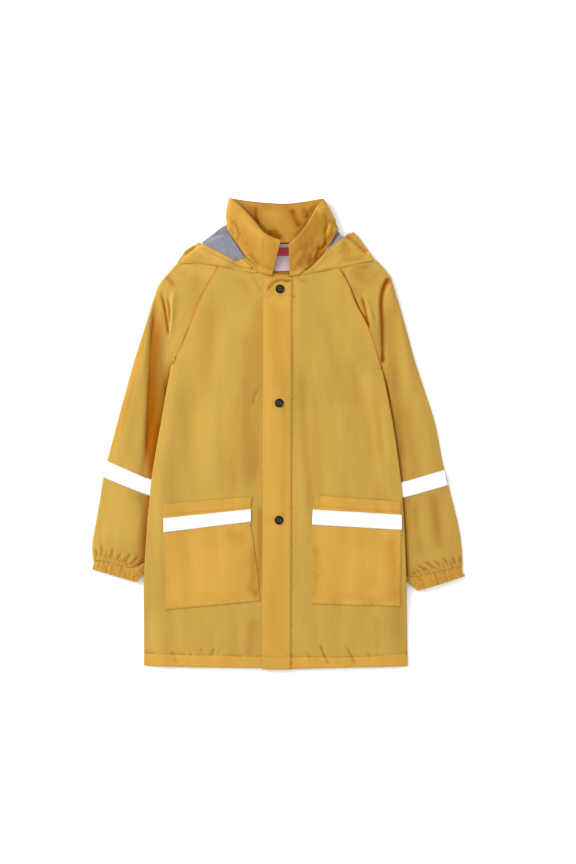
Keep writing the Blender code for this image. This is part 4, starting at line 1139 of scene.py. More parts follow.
# painted light and shade: path, how deep (below 0: painted light), width to its left and right, fading
HOOD_LIGHT_AND_SHADE = {
    "right": (
        (((-150, 256), (-120, 257), (-92, 253), (-60, 246)), 0.18, 4, 3, 0.2),
        (((-58, 256), (-46, 251), (-36, 244)), 0.35, 3, 3, 0.2),
        (((-128, 270), (-100, 263), (-72, 254)), -0.3, 5, 5, 0.25),
    ),
    "left": (
        (((96, 290), (106, 276), (104, 256)), 0.3, 5, 7, 0.2),
        (((110, 292), (125, 280), (142, 266)), -0.4, 7, 8, 0.2),
        (((60, 258), (76, 270), (90, 286)), 0.12, 5, 4, 0.25),
        (((50, 246), (70, 252), (96, 262)), -0.15, 4, 4, 0.25),
        (((44, 242), (70, 247), (100, 252)), 0.2, 2, 3, 0.2),
    ),
}
HOOD_CORNERS = {
    "right": ((-117.5, 287.5), (-30.5, 243.3), (-33.0, 240.5), (-153.0, 254.0)),
    "left": ((36.0, 240.0), (103.0, 299.5), (146.0, 259.5), (38.0, 238.0)),
}
HOOD_MOVES = {
    "right": (((-153.0, 254.0), (-151.0, 256.2)), ((-150.5, 254.0), (-148.8, 256.0))),
    "left": (((146.0, 259.5), (144.5, 260.5)), ((143.5, 259.3), (142.0, 259.8))),
}
LINING_CORNERS = ((-70.0, 257.5), (92.0, 272.0), (76.5, 278.0), (-53.0, 263.5))
FACING_CORNERS = ((-69.5, 256.6), (-52.3, 262.6), (-38.0, 249.5), (-46.0, 247.0))


def hood_form(side):
    def form(x, y, sides):
        z = creases(x, y, HOOD_FOLDS[side]) + drift(x * 1.6, y * 1.6, 0.3, 8)
        return z + puckers(x, y, sides["top"], 0.18, 8.0, 5.0, 0.5, 71)

    return form


def knit_form(x, y, sides):
    return drift(x * 2, y * 2, 0.25, 9)


def label_form(x, y, sides):
    return 0.15 * ripple(y, 30, 4)


# %% The hood's sides, its lining and the label
LINING_MOVES = (
    # its inner edge runs on under the collar
    ((-53.0, 263.5), (-49.5, 262.5)), ((-57.5, 271.0), (-53.0, 269.5)),
    ((-63.5, 280.5), (-59.0, 279.0)), ((-68.5, 288.5), (-65.0, 288.0)),
    ((-73.0, 295.5), (-70.0, 297.0)), ((85.0, 291.5), (81.0, 293.0)),
    ((81.0, 284.0), (77.0, 286.0)), ((76.5, 278.0), (71.5, 277.0)),
)
HOOD_ROLLS = {"left": (1.2, 0.5), "right": (1.2, 0.5), "bottom": (4.5, 1.1), "top": (1.6, 0.3)}
under = ("hood_back_cloth",)
neck_ends = ("front_right_cloth", "front_left_cloth", "sleeve_right_cloth", "sleeve_left_cloth")
add_panel(
    "hood_lining", "knit_lining", TAPE_WALL, knit_form, LINING_CORNERS, on=under + neck_ends, cell=2.0,
    lift=TAPE_WALL + 0.3, moves=LINING_MOVES, edge_shade=0.0,
)
add_panel("hood_facing", CLOTH_SLOT, TAPE_WALL, knit_form, FACING_CORNERS, on=under, cell=1.5)
for side in ("right", "left"):
    lies_on = (f"sleeve_{side}_cloth", f"front_{side}_cloth", "hood_back_cloth", "hood_lining_cloth")
    add_panel(
        f"hood_{side}", CLOTH_SLOT, WALL, hood_form(side), HOOD_CORNERS[side], doubled=0.3,
        on=lies_on, cell=1.8, lift=WALL + 0.4, light_and_shade=HOOD_LIGHT_AND_SHADE[side], edge_shade=0.15,
        moves=HOOD_MOVES[side], rolls=HOOD_ROLLS,
    )
add_panel("neck_label", "label_cloth", TAPE_WALL, label_form, cell=1.5, on=("back_panel_cloth",))

# %% [markdown]
# ## The collar
#
# The collar is a band of two layers that goes round the neck. Laid flat, it is a ring: its back
# lies underneath, its fronts come round on top of it, and it turns over in a round fold at each
# side. Its sections run from the neck seam to the free edge.

# %% The collar's sections and folds
COLLAR_ROWS = (
    # seam_x, seam_y, edge_x, edge_y, in the back layer (0) or the front one (1)
    (-9.0, 237.5, 4.5, 289.0, 1.0),
    (-24.0, 240.5, -8.0, 293.5, 1.0),
    (-36.0, 252.5, -21.0, 300.5, 1.0),
    (-48.0, 265.5, -35.5, 318.0, 1.0),
    (-62.0, 285.0, -53.0, 337.0, 1.0),
    (-70.0, 297.0, -65.0, 348.0, 1.0),
    (-75.0, 304.5, -71.0, 352.3, 0.82),
    (-76.5, 307.0, -72.6, 353.0, 0.5),
    (-74.0, 303.5, -70.5, 352.7, 0.18),
    (-64.0, 296.0, -62.0, 351.5, 0.0),
    (-45.0, 289.5, -40.0, 348.5, 0.0),
    (-22.0, 286.5, -14.0, 346.0, 0.0),
    (3.0, 286.0, 12.0, 345.0, 0.0),
    (28.0, 287.0, 33.0, 347.0, 0.0),
    (55.0, 291.5, 52.0, 350.0, 0.0),
    (76.0, 299.0, 64.5, 352.0, 0.0),
    (87.0, 305.5, 67.5, 351.5, 0.18),
    (90.5, 307.0, 68.7, 350.0, 0.5),
    (88.0, 302.5, 67.0, 348.5, 0.82),
    (81.0, 289.0, 61.5, 344.0, 1.0),
    (74.0, 278.5, 54.0, 331.0, 1.0),
    (60.0, 264.0, 44.0, 313.5, 1.0),
    (46.0, 250.0, 32.0, 297.5, 1.0),
    (32.0, 238.5, 23.0, 288.0, 1.0),
    (17.5, 236.0, 16.0, 283.5, 1.0),
)
COLLAR_CELL = 1.5
COLLAR_BOW = (3.0, 0.9)  # how far the right and the left folded end swell outwards at mid height
COLLAR_WALL = 1.8  # the solid's own wall
COLLAR_SEAM_DROP = 1.5  # how far the fronts' seam edge presses into the cloth it is sewn to
COLLAR_GAPS = (0.7, 6.5)  # clear space between the solid's layers at the seam and the free edge
COLLAR_BAND = 50.0  # the band's width, which its cells are counted on
COLLAR_CUT, COLLAR_MEAN = 54.0, 52.0  # the cut's width where it is widest, and on average
LAYER_STEP = 10.0  # what the way from one layer to the other counts for in the spacing of sections
BACK_SHADE, FRONT_SHADE = 0.34, 0.2  # painted shade over all of the collar's back and of its fronts
BACK_NECK_Y = 285.0  # beyond this the fronts lie on the collar's own back
COLLAR_FOLDS = {
    "front": (
        (((-69, 326), (-66, 308), (-61, 292)), -0.7, 2.4, 2.4, 0.3),
        (((-74, 320), (-71, 306), (-66, 296)), 0.5, 2, 2, 0.3),
        (((-60, 304), (-54, 288), (-46, 272)), 0.5, 3, 3, 0.3),
        (((-44, 316), (-46, 296), (-42, 276)), -0.5, 6, 6, 0.3),
        (((-22, 296), (-27, 276), (-24, 256)), 0.5, 7, 7, 0.3),
        (((80, 322), (76, 306), (69, 290)), 1.0, 1.8, 1.8, 0.25),
        (((74, 330), (71, 312), (66, 296)), -0.8, 2.2, 2.2, 0.25),
        (((84, 314), (80, 302), (74, 290)), -0.8, 1.6, 1.6, 0.25),
        (((75, 302), (71, 286), (60, 272), (46, 254)), -1.0, 2.2, 2.2, 0.2),
        (((64, 300), (58, 286), (46, 270)), 0.7, 3, 3, 0.25),
        (((58, 282), (48, 268), (40, 252)), -0.6, 2.4, 2.4, 0.3),
        (((22, 250), (32, 262), (42, 276)), 0.8, 3, 3, 0.3),
        (((28, 282), (40, 296), (52, 314)), -0.5, 6, 6, 0.3),
        (((62, 342), (66, 330), (68, 318)), 0.6, 3, 3, 0.3),
    ),
    "back": (
        (((-31, 343), (-33, 326), (-28, 312)), -0.7, 4, 4, 0.25),
        (((-48, 344), (-46, 330), (-38, 316)), 0.5, 3, 3, 0.3),
        (((22, 341), (26, 322), (35, 307)), -0.9, 3, 6, 0.2),
        (((54, 343), (45, 331), (42, 319)), -0.5, 2.4, 2.4, 0.3),
        (((34, 343), (35, 328), (44, 314)), 0.5, 3, 3, 0.3),
        (((-12, 302), (-3, 303), (5, 295)), -0.6, 3, 3, 0.3),
        (((-4, 340), (-2, 324), (2, 310)), 0.4, 8, 8, 0.3),
    ),
}
COLLAR_LIGHT_AND_SHADE = {
    "front": (
        # painted light and shade on the left front: a deep middle, and the creases beside its fold and
        # above its seam
        (((62, 335), (52, 309), (41, 286), (33, 266), (28, 248)), 0.32, 15, 15, 0.08),
        (((79.5, 323), (71, 303), (69, 279)), 0.6, 2.2, 2.4, 0.12),
        (((62, 283), (58, 270), (55, 259)), 0.6, 2.2, 2.2, 0.15),
        (((50, 270), (47, 260), (44, 252)), 0.5, 2.0, 2.2, 0.15),
        (((86, 306), (76, 290), (60, 270), (46, 254)), 0.5, 3.0, 3.0, 0.1),
        (((82, 319), (85, 306)), 0.45, 1.6, 1.6, 0.2),
        (((66, 346), (75, 334), (84, 314)), -0.15, 3, 4, 0.2),
        (((77, 318), (76, 306), (73, 292)), -0.45, 2.0, 2.0, 0.2),
        (((20, 252), (28, 266), (38, 276)), -0.35, 2.6, 2.6, 0.25),
        (((18, 282), (30, 296), (44, 314), (60, 340)), -0.3, 1.8, 1.8, 0.08),
        # painted light and shade on the right front
        (((2, 287), (-4, 264), (-9, 240)), 0.2, 4, 9, 0.15),
        (((-67, 322), (-61, 309), (-57.5, 298), (-62, 288)), 0.42, 2.0, 2.6, 0.12),
        (((-77, 308), (-70, 297), (-60, 284)), 0.3, 2.6, 2.6, 0.15),
        (((-72, 316), (-66, 304), (-62, 294)), -0.25, 2.2, 2.2, 0.25),
        (((-52, 318), (-48, 296), (-40, 272), (-30, 250)), 0.12, 10, 8, 0.2),
        (((-44, 274), (-36, 260), (-28, 248)), 0.3, 4, 3, 0.2),
        (((-60, 332), (-40, 308), (-16, 293)), -0.2, 6, 6, 0.2),
    ),
    # painted light and shade on the back
    "back": (
        (((-36, 344), (-34, 328), (-29, 314)), 0.3, 8, 8, 0.2),
        (((23, 340), (27, 324), (35, 308)), 0.42, 4, 9, 0.2),
        (((-62, 344.5), (-42, 327.5), (-27, 314), (-14, 303), (4, 295)), 0.45, 2.2, 2.6, 0.05),
        (((-16, 301), (-7, 297.5), (6, 293)), 0.8, 3.4, 4, 0.12),
        (((-26, 345), (0, 341), (26, 345)), 0.15, 12, 12, 0.1),
        (((-17, 300), (-9, 306), (0, 304.5), (6, 297), (8, 289)), 0.3, 2.4, 2.4, 0.15),
        (((38, 340), (42, 330), (46, 322)), 0.3, 4, 4, 0.25),
        (((52, 344), (50, 336), (48, 330)), 0.3, 2.2, 2.2, 0.2),
        (((60, 346), (50, 330), (36, 308), (22, 294)), 0.35, 5, 4, 0.1),
        (((-30, 334), (-6, 330), (14, 334)), -0.12, 8, 8, 0.25),
    ),
}


# %% Lay the collar
def collar_sections():
    """The sections as a grid of points in plan, the height share and the layer of each."""
    rows = np.array(COLLAR_ROWS)
    rows[:, 4] *= LAYER_STEP
    fine = smooth_curve(rows, 10, sharp=179)
    count = round(lengths_along(fine[:, 2:4])[-1] / COLLAR_CELL)
    fine = at(fine, stations(lengths_along(fine[:, 2:4])[-1], count))
    share = stations(COLLAR_BAND, round(COLLAR_BAND / COLLAR_CELL))
    plan = fine[None, :, :2] + (fine[None, :, 2:4] - fine[None, :, :2]) * share[:, None, None]
    layer = np.clip(fine[:, 4] / LAYER_STEP, 0, 1)
    folded = 1 - abs(2 * layer - 1)
    swell = np.where(plan[..., 0] < 0, -COLLAR_BOW[0], COLLAR_BOW[1])
    plan[..., 0] += swell * np.sin(math.pi * share)[:, None] * folded
    return plan[::-1], share[::-1, None] + 0 * layer, layer[None] + 0 * share[:, None]


def collar_lower_layer(plan, rise, layer):
    """How high the solid's lower layer is: read from below, or from above and taken down."""
    bm = merged("collar")
    tree = tree_of(list(bm.faces))
    bm.free()
    read = {
        sign: heights_over(tree, plan, sign, lambda x, y: tree.find_nearest(Vector((x, y, z)))[0].z)
        for sign, z in ((1, 14.0), (-1, 6.0))
    }
    return blur(np.where(layer >= 0.5, read[1] - rise, read[-1]), 40)


def collar_heights(plan, share, layer, front, seam, free):
    """The back lies on the coat. The fronts lie at their seam and stand off at their free edge."""
    low_gap, high_gap = COLLAR_GAPS
    rise = 2 * COLLAR_WALL + low_gap + (high_gap - low_gap) * share
    stands = collar_lower_layer(plan, rise, layer) + rise * layer
    names = [name for name in made if name.startswith(("front_", "back_", "hood_", "neck_"))]
    below = blur(heights_over(cloth_below(names), plan, beside=lambda x, y: 4.0), 6)
    x, y = plan[..., 0], plan[..., 1]
    folds = front * creases(x, y, COLLAR_FOLDS["front"])
    folds += (1 - front) * creases(x, y, COLLAR_FOLDS["back"])
    folds += drift(x * 2, y * 1.5, 0.25, 12) * ease(0, 0.25, share)
    folds += puckers(x, y, plan[-1], 0.35, 8.0, 9.0, 0.4, 81)
    on_back = (2 * DOUBLE_WALL + 0.3) * front * (y > BACK_NECK_Y)
    lies = blur(below + 0.35 + on_back + DOUBLE_WALL * front, 8)
    lying = front * (1 - ease(0.0, 0.75, share))
    z = stands * (1 - lying) + lies * lying
    z = np.where(front > 0.5, z, np.maximum(z, below + 0.3)) + folds
    z = np.maximum(z, below + 0.25 + front * DOUBLE_WALL)
    z -= front * COLLAR_SEAM_DROP * bell(seam, 2.0)
    return z - front * 0.5 * (1 - quarter_round(free, 1.4))


def add_collar():
    plan, share, layer = collar_sections()
    front = ease(0.35, 0.65, layer)
    free, seam = (np.linalg.norm(plan - plan[row], axis=2) for row in (0, -1))
    z = collar_heights(plan, share, layer, front, seam, free)
    x, y = plan[..., 0], plan[..., 1]
    # painted light and shade from the tables, and painted shade over all of the collar and along its
    # edges
    shade = front * (creases(x, y, COLLAR_LIGHT_AND_SHADE["front"]) + FRONT_SHADE)
    shade += (1 - front) * (creases(x, y, COLLAR_LIGHT_AND_SHADE["back"]) + BACK_SHADE)
    shade += EDGE_SHADE * bell(np.minimum(free, seam), EDGE_SHADE_WIDTH)
    marks = {"hollow": fold_shade_of(z), "doubled": z * 0 + 1, "shade": np.clip(shade, -1, 1)}
    points = np.dstack([plan, z])
    piece = cloth_object("collar_cloth", points, grid_faces(*z.shape), DOUBLE_WALL, marks)
    made[piece.name]["sides"] = {"top": plan[0]}
    around = lengths_along(plan[0])[-1]
    flat, area = (around, COLLAR_CUT), around * COLLAR_MEAN
    declare(piece, "collar", DOUBLE_SLOT, flat, area, rests_on=("hood_lining_cloth",))


add_collar()

# %% [markdown]
# ## The press snaps
#
# Each snap's cap is a small dark disc, pressed from sheet metal: a rolled rim, a shallow dish
# and a raised ring in it. It is modelled once and copied to its three places.

# %% Snaps
SNAP_RADIUS, SNAP_HEIGHT = 6.5, 1.5
SNAP_RIM = (3.6, 4.4)  # the dish ends and the cap turns darker between these radii, out to its rim
CAP_STEPS = (
    # the cap's face, from its rim inwards: how far in, and how far up
    (0.55, 0.0), (0.5, -0.35), (1.5, -0.1), (0.35, 0.3), (0.5, 0.0), (0.35, -0.3),
)


def snap_cap():
    """One cap: a disc whose face is inset again and again, with a softly bevelled rim."""
    bpy.ops.object.select_all(action="DESELECT")
    bpy.ops.mesh.primitive_cylinder_add(
        vertices=48, radius=SNAP_RADIUS * MM, depth=SNAP_HEIGHT * MM, location=(0, 0, 0)
    )
    cap = bpy.context.object
    cap.name = "snap_cap"
    bpy.ops.object.mode_set(mode="EDIT")
    bpy.ops.mesh.select_all(action="DESELECT")
    bpy.ops.object.mode_set(mode="OBJECT")
    max(cap.data.polygons, key=lambda face: face.center.z).select = True
    bpy.ops.object.mode_set(mode="EDIT")
    bpy.ops.mesh.select_mode(type="FACE")
    for step, rise in CAP_STEPS:
        bpy.ops.mesh.inset(thickness=step * MM, depth=rise * MM)
    bpy.ops.object.mode_set(mode="OBJECT")
    bevel = cap.modifiers.new("rim", "BEVEL")
    bevel.width, bevel.segments, bevel.limit_method = 0.18 * MM, 2, "ANGLE"
    bevel.angle_limit = math.radians(25)
    bpy.ops.object.modifier_apply(modifier=bevel.name)
    bpy.ops.object.shade_smooth_by_angle(angle=math.radians(40))
    rim = cap.data.attributes.new("rim", "FLOAT", "POINT")
    reach = [v.co.xy.length / MM for v in cap.data.vertices]
    rim.data.foreach_set("value", np.float32(ease(*SNAP_RIM, reach)))
    return cap


def add_snaps():
    """A copy of the cap for each snap, on the mean height of the placket below it."""
    cap = snap_cap()
    below = cloth_below(("placket_cloth",))
    for node, place in zip(SNAP_NODES, SNAPS):
        snap = new_object(node + "_cap", cap.data.copy())
        spots = ((0, 0), (4, 0), (-4, 0), (0, 4), (0, -4))
        height = sum(height_at(below, place.x + dx, place.y + dy) for dx, dy in spots) / len(spots)
        move = Vector((place.x, place.y, height + SNAP_HEIGHT / 2 + 0.05)) * MM
        for vert in snap.data.vertices:
            vert.co += move
        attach(snap, "root")
        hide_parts(node)
        made[snap.name] = {"object": snap}
        print(snap.name, "at a height of", round(height, 2), "mm")
    bpy.data.objects.remove(cap, do_unlink=True)


add_snaps()

# %% [markdown]
# ## Stitches
#
# Every seam that shows is topstitched. A stitch is a short piece of thread whose ends dive into
# the cloth. All of one row's stitches are laid on the finished cloth, one after the other.

# %% Stitching
STITCH, STITCH_GAP, THREAD = 2.5, 0.7, 0.22  # length of a stitch, space to the next, thread radius
THREAD_SIDES = 6
STITCH_RINGS = (
    # along a stitch: the share of its length, its height off the cloth, its share of the radius
    (0.0, -0.12, 0.5), (0.16, 0.1, 1.0), (0.84, 0.1, 1.0), (1.0, -0.12, 0.5),
)
STEEPEST = 1.2  # a stitch that would climb more than this, over an edge, is left out


def stitch_row(rows, tree, line):
    """Add one row's stitches, along a line in plan, where there is cloth below it."""
    length = lengths_along(line)[-1]
    for k in range(int(length / (STITCH + STITCH_GAP))):
        start = k * (STITCH + STITCH_GAP)
        places = at(line, [(share * STITCH + start) / length for share, _, _ in STITCH_RINGS])
        heights = [height_at(tree, x, y) for x, y in places]
        if None in heights:
            continue
        spots = [
            Vector((x, y, z + off)) for (x, y), z, (_, off, _) in zip(places, heights, STITCH_RINGS)
        ]
        if max(s.z for s in spots) - min(s.z for s in spots) < STEEPEST:
            rows.append(spots)


def add_stitching(name, slot, rows):
    """One piece of thread for each stitch: rings along it, joined by faces, and two ends."""
    points, faces = [], []
    turns = [2 * math.pi * k / THREAD_SIDES for k in range(THREAD_SIDES)]
    for spots in rows:
        way = (spots[-1] - spots[0]).normalized()
        side = way.cross(Vector((0, 0, 1))).normalized()
        up = side.cross(way)
        start = len(points)
        for spot, (_, _, thick) in zip(spots, STITCH_RINGS):
            for turn in turns:
                points.append(spot + (side * math.cos(turn) + up * math.sin(turn)) * THREAD * thick)
        rings = grid_faces(len(spots), THREAD_SIDES, closed=True) + start
        faces += [tuple(face) for face in rings.tolist()]
        faces.append(tuple(range(start, start + THREAD_SIDES)))
        faces.append(tuple(range(len(points) - THREAD_SIDES, len(points)))[::-1])
    mesh = bpy.data.meshes.new(name)
    mesh.from_pydata([p * MM for p in points], [], faces)
    mesh.shade_smooth()
    piece = new_object(name, mesh)
    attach(piece, "root")
    made[name] = {"object": piece}
    print(name, len(rows), "stitches")


# %% Sew every seam that shows
def topstitched(table):
    """The stitches of a table: a piece, the sides they follow, and how far in from them."""
    rows = []
    for name, wanted, distance in table:
        tree = cloth_below((name,))
        for side in wanted:
            stitch_row(rows, tree, inset(made[name]["sides"][side], distance))
    return rows


body_rows = []
body = cloth_below(("front_right_cloth", "front_left_cloth", "placket_cloth"))
for line in (HEM_LINE, inset(made["placket_cloth"]["sides"]["right"], 2.2)):
    stitch_row(body_rows, body, line)
pocket_table, sleeve_table = [], []
for side in ("right", "left"):
    pocket_table += [
        (f"pocket_{side}_cloth", ("left", "bottom", "right"), 1.9),
        (f"pocket_{side}_cloth", ("top",), POCKET_BAND - 1.5),
        (f"pocket_tape_{side}_cloth", ("top", "bottom"), 1.3),
    ]
    sleeve_table += [
        (f"sleeve_tape_{side}_cloth", ("top", "bottom"), 1.3),
        (f"cuff_{side}_cloth", ("bottom",), CUFF_MIDDLE),
        (f"hood_{side}_cloth", ("top",), 6.5),
    ]
add_stitching("body_stitching", CLOTH_SLOT, body_rows)
add_stitching("pocket_stitching", DOUBLE_SLOT, topstitched(pocket_table))
add_stitching("sleeve_and_hood_stitching", CLOTH_SLOT, topstitched(sleeve_table))
add_stitching("collar_stitching", DOUBLE_SLOT, topstitched([("collar_cloth", ("top",), 2.2)]))

# %% [markdown]
# ## Finishes
#
# Colours are written as seen, in sRGB hex, and made linear by one function. Patterns are sized in
# millimetres: a noise that repeats about every so many millimetres gets that as its scale.


# %% Small tools for materials
def colour(text):
    """A colour as seen, such as D4AE54, as linear light for a shader."""
    parts = [int(text[k : k + 2], 16) / 255 for k in (0, 2, 4)]
    return (*((c / 12.92 if c <= 0.04045 else ((c + 0.055) / 1.055) ** 2.4) for c in parts), 1.0)


def node_in(tree, kind, links=(), **settings):
    """Add a shader node with its settings, and link its inputs from (socket, source) pairs."""
    made_node = tree.nodes.new("ShaderNode" + kind)
    for key, value in settings.items():
        if key.startswith("in_"):
            made_node.inputs[int(key[3:])].default_value = value
        else:
            setattr(made_node, key, value)
    for socket, source in links:
        tree.links.new(source, made_node.inputs[socket])
    return made_node


def new_material(name):
    material = bpy.data.materials.new(name)
    material.use_nodes = True
    tree = material.node_tree
    return material, tree, tree.nodes["Principled BSDF"]


def blend(tree, factor, first, second, way="MIX"):
    """Mix two colours by a factor. Each may be a socket or a constant."""
    mixer = node_in(tree, "Mix", data_type="RGBA", blend_type=way)
    for index, value in ((0, factor), (6, first), (7, second)):
        if isinstance(value, bpy.types.NodeSocket):
            tree.links.new(value, mixer.inputs[index])
        else:
            mixer.inputs[index].default_value = value
    return mixer.outputs[2]


def noise(tree, size, detail=2.0, roughness=0.5):
    """Noise whose features are so many millimetres wide, along X, Y and Z."""
    place = node_in(tree, "TexCoord").outputs["Object"]
    scaled = node_in(tree, "VectorMath", [(0, place)], operation="MULTIPLY")
    scaled.inputs[1].default_value = tuple(1 / (MM * v) for v in size)
    return node_in(
        tree, "TexNoise", [("Vector", scaled.outputs[0])], in_2=1.0, in_3=detail, in_4=roughness
    ).outputs[0]


def ramp(tree, source, low, high, to_low=0.0, to_high=1.0):
    return node_in(
        tree, "MapRange", [(0, source)], in_1=low, in_2=high, in_3=to_low, in_4=to_high
    ).outputs[0]


def times(tree, first, second):
    return node_in(tree, "Math", [(0, first), (1, second)], operation="MULTIPLY").outputs[0]


def bump(tree, source, depth, normal=None):
    """Relief of so many millimetres."""
    node = node_in(tree, "Bump", [("Height", source)])
    node.inputs["Strength"].default_value = 1.0
    node.inputs["Distance"].default_value = depth * MM
    if normal is not None:
        tree.links.new(normal, node.inputs["Normal"])
    return node.outputs[0]


def attribute(tree, name):
    return node_in(tree, "Attribute", attribute_name=name).outputs["Fac"]


# %% [markdown]
# ### Coated nylon
#
# A fine plain weave with a thin clear coating on its face: a satin sheen, streaks along the
# warp, and wide soft bands of painted light and shade for its gentle waves. One layer is a
# greenish yellow. Where two layers lie together less light passes through, so it is deeper and
# more orange. The bottom of a fold is painted with shade, deeper and more orange, for the light
# that has met yellow cloth several times there; the tables and turned edges add painted light
# and shade.

# %% Coated nylon
LIGHT = 1.62  # how many times brighter than paper white the studio's light makes a white sheet
# one layer, two layers, and the painted shade of folds, tables and edges
SINGLE, DOUBLED, PAINTED_SHADE = "CEA750", "DDAB4C", "9E5506"


def lit(text):
    """The cloth's own colour, from its colour as seen in the studio's light."""
    return (*(c / LIGHT for c in colour(text)[:3]), 1.0)


def coated_nylon(name, single, doubled, deep, roughness):
    """Satin with fine streaks, deeper where doubled, with painted light and shade: wide bands, folds,
    edges and tables.
    """
    material, tree, surface = new_material(name)
    streak = noise(tree, (1.1, 34.0, 34.0), 3.0, 0.6)
    # wide soft bands of painted light and shade, for gentle waves in the cloth
    band = noise(tree, (26.0, 240.0, 240.0), 1.5)
    weave = noise(tree, (0.35, 0.35, 0.35), 1.0)
    layers = blend(tree, attribute(tree, "doubled"), lit(single), lit(doubled))
    # painted shade: deeper and more orange in folds, from the tables and along edges
    fold_shade_mix = ramp(tree, attribute(tree, "hollow"), 0.1, 1.0, 0.0, 0.6)
    table_shade_mix = ramp(tree, attribute(tree, "shade"), 0.0, 1.0)
    depth = node_in(tree, "Math", [(0, fold_shade_mix), (1, table_shade_mix)], operation="ADD", use_clamp=True)
    tone = blend(tree, depth.outputs[0], layers, lit(deep))
    # painted light: lighter where the tables' mark is below 0
    light = ramp(tree, attribute(tree, "shade"), -1.0, 0.0, 1.35, 1.0)
    grain = ramp(tree, streak, 0.3, 0.7, 0.965, 1.035)
    wide = ramp(tree, band, 0.32, 0.68, 0.95, 1.05)
    lift = times(tree, times(tree, grain, wide), light)
    combined = node_in(tree, "CombineColor", [(0, lift), (1, lift), (2, lift)]).outputs[0]
    tree.links.new(blend(tree, 1.0, tone, combined, "MULTIPLY"), surface.inputs["Base Color"])
    gloss = ramp(tree, streak, 0.3, 0.7, roughness - 0.05, roughness + 0.06)
    tree.links.new(gloss, surface.inputs["Roughness"])
    relief = bump(tree, weave, 0.02, bump(tree, streak, 0.03))
    tree.links.new(relief, surface.inputs["Normal"])
    surface.inputs["Specular IOR Level"].default_value = 0.4
    surface.inputs["Specular Tint"].default_value = colour("F0B030")
    return material


NYLON = coated_nylon("coated_nylon", SINGLE, DOUBLED, PAINTED_SHADE, 0.45)
# its last colour is the painted shade of its folds and gathers
ELASTIC = coated_nylon("gathered_nylon_over_elastic", "DAA64A", "DAA64A", "9A5C18", 0.5)

# %% [markdown]
# ### Jersey, tape, label, snaps and thread
#
# The lining is a knitted marl: grey yarns of two tones, which show as short streaks along the
# ribs. The tape is white and covered with glass beads, finer than can be seen, so it is evenly
# bright. The snaps are blackened metal.


# %% The other finishes
def marl_jersey():
    """Dull and soft, in short darker and lighter streaks along its ribs."""
    material, tree, surface = new_material("grey_marl_jersey")
    yarn = noise(tree, (0.9, 7.0, 7.0), 3.0, 0.7)
    flecks = noise(tree, (0.6, 2.2, 2.2), 2.0)
    tone = blend(tree, ramp(tree, yarn, 0.34, 0.66), lit("7B7A87"), lit("9C9BA8"))
    tone = blend(tree, ramp(tree, flecks, 0.55, 0.7, 0.0, 0.5), tone, lit("6A6A78"))
    tree.links.new(tone, surface.inputs["Base Color"])
    surface.inputs["Roughness"].default_value = 0.95
    surface.inputs["Sheen Weight"].default_value = 0.3
    tree.links.new(bump(tree, flecks, 0.12), surface.inputs["Normal"])
    return material


def beaded_tape():
    """Evenly bright white, with painted shade in grey along its edges and where its ends lap."""
    material, tree, surface = new_material("white_beaded_tape")
    beads = noise(tree, (0.25, 0.25, 0.25), 0.0)
    tone = blend(tree, beads, colour("EFEFEF"), colour("F3F3F3"))
    # painted shade from the shade mark, in grey
    tone = blend(tree, attribute(tree, "shade"), tone, lit("8A8792"))
    tree.links.new(tone, surface.inputs["Base Color"])
    surface.inputs["Roughness"].default_value = 0.5
    tree.links.new(bump(tree, beads, 0.015), surface.inputs["Normal"])
    return material


LABEL_BAND = (266.5, 279.5)  # along Y: a plain red band's lower and upper edge


def woven_label():
    """Pale and matt with fine ribs, and one plain red band."""
    material, tree, surface = new_material("bare_woven_label")
    ribs = noise(tree, (0.3, 3.0, 3.0), 1.0)
    tone = blend(tree, ramp(tree, ribs, 0.4, 0.6), lit("D6C0C5"), lit("C6AFB5"))
    place = node_in(tree, "TexCoord").outputs["Object"]
    up = node_in(tree, "SeparateXYZ", [(0, place)]).outputs[1]
    edges = [ramp(tree, up, v * MM - 0.0002, v * MM + 0.0002) for v in LABEL_BAND]
    band = node_in(tree, "Math", [(0, edges[0]), (1, edges[1])], operation="SUBTRACT").outputs[0]
    tone = blend(tree, band, tone, lit("C4374A"))
    tree.links.new(tone, surface.inputs["Base Color"])
    surface.inputs["Roughness"].default_value = 0.8
    tree.links.new(bump(tree, ribs, 0.03), surface.inputs["Normal"])
    return material


def blackened_metal():
    """Near black with a soft worn shine, and a blacker rim."""
    material, tree, surface = new_material("blackened_snap_metal")
    wear = noise(tree, (1.5, 1.5, 1.5), 3.0)
    tone = blend(tree, ramp(tree, wear, 0.35, 0.75), lit("3C3D39"), lit("545550"))
    tone = blend(tree, attribute(tree, "rim"), tone, lit("24241F"))
    tree.links.new(tone, surface.inputs["Base Color"])
    surface.inputs["Metallic"].default_value = 1.0
    tree.links.new(ramp(tree, wear, 0.3, 0.7, 0.36, 0.5), surface.inputs["Roughness"])
    return material


def thread():
    """A tone deeper than the cloth, so that the rows of stitches show."""
    material, tree, surface = new_material("spun_thread")
    twist = noise(tree, (0.2, 0.2, 0.2), 1.0)
    tone = blend(tree, twist, lit("B98532"), lit("CF9E48"))
    tree.links.new(tone, surface.inputs["Base Color"])
    surface.inputs["Roughness"].default_value = 0.7
    return material


def floor_paper():
    """Plain matt white, which shows only the soft shadow of the coat."""
    material, tree, surface = new_material("white_paper")
    grain = noise(tree, (400.0, 400.0, 400.0), 1.0)
    tone = blend(tree, grain, colour("FAFAFA"), colour("F8F8F8"))
    tree.links.new(tone, surface.inputs["Base Color"])
    surface.inputs["Roughness"].default_value = 0.9
    surface.inputs["Specular IOR Level"].default_value = 0.1
    return material


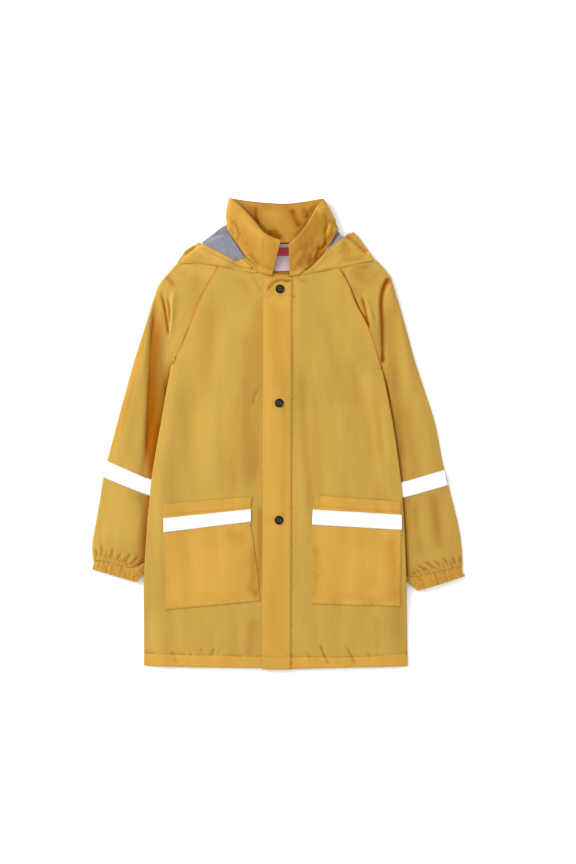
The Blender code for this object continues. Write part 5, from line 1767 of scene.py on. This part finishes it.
FINISHES = {
    "cuff": ELASTIC,
    "hood_lining": marl_jersey(),
    "neck_label": woven_label(),
    "snap": blackened_metal(),
}
TAPE, THREAD_FINISH = beaded_tape(), thread()
for name, piece in made.items():
    if "tape" in name:
        finish = TAPE
    elif "stitching" in name:
        finish = THREAD_FINISH
    else:
        finish = next((f for start, f in FINISHES.items() if name.startswith(start)), NYLON)
    piece["object"].data.materials.clear()
    piece["object"].data.materials.append(finish)
print("finishes:", sorted({piece["object"].data.materials[0].name for piece in made.values()}))

# %% [markdown]
# ## Floor, light and camera
#
# A white floor and a wide white sky give the soft light of a table-top picture. A key light from
# the upper left models the folds, and a weak warm one from the right keeps their far sides warm.


# %% Floor, light and camera
FLOOR_DROP = 0.0002  # metres below the coat, so that the two share no face


def add_floor():
    bpy.ops.mesh.primitive_plane_add(size=12.0, location=(0, 0, -FLOOR_DROP))
    floor = bpy.context.object
    floor.name = "floor"
    floor.data.materials.append(floor_paper())
    floor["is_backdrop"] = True


def add_area(name, place, size, power, tint):
    light = bpy.data.lights.new(name, "AREA")
    light.shape, light.size = "DISK", size
    light.energy, light.color = power, colour(tint)[:3]
    lamp = new_object(name, light)
    lamp.location = place
    lamp.rotation_euler = (-Vector(place)).to_track_quat("-Z", "Y").to_euler()
    print(f"{name} light of {power:.0f} W, {size} m wide, at {place} m")


def add_world(strength):
    world = bpy.data.worlds.new("studio")
    bpy.context.scene.world = world
    world.use_nodes = True
    background = world.node_tree.nodes["Background"]
    background.inputs[0].default_value = colour("FFFFFF")
    background.inputs[1].default_value = strength


def add_camera(x, y, height, lens):
    data = bpy.data.cameras.new("camera")
    data.lens, data.sensor_width = lens, 36.0
    data.clip_start, data.clip_end = 0.05, 50.0
    camera = new_object("camera", data)
    camera.location = (x, y, height)
    bpy.context.scene.camera = camera


add_floor()
add_area("key", (-2.4, 1.5, 1.35), 1.6, 130.0, "FFFFFF")
add_area("fill", (2.2, -0.9, 1.5), 1.2, 8.0, "FFE9C8")
add_world(1.0)
add_camera(0.015, 0.003, 3.0, 83.3)
bpy.context.scene.view_settings.view_transform = "Standard"

# %% Measure the coat's size, and finish
low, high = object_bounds()
print("made, in mm:", [[round(v / MM, 1) for v in p] for p in (low, high)])
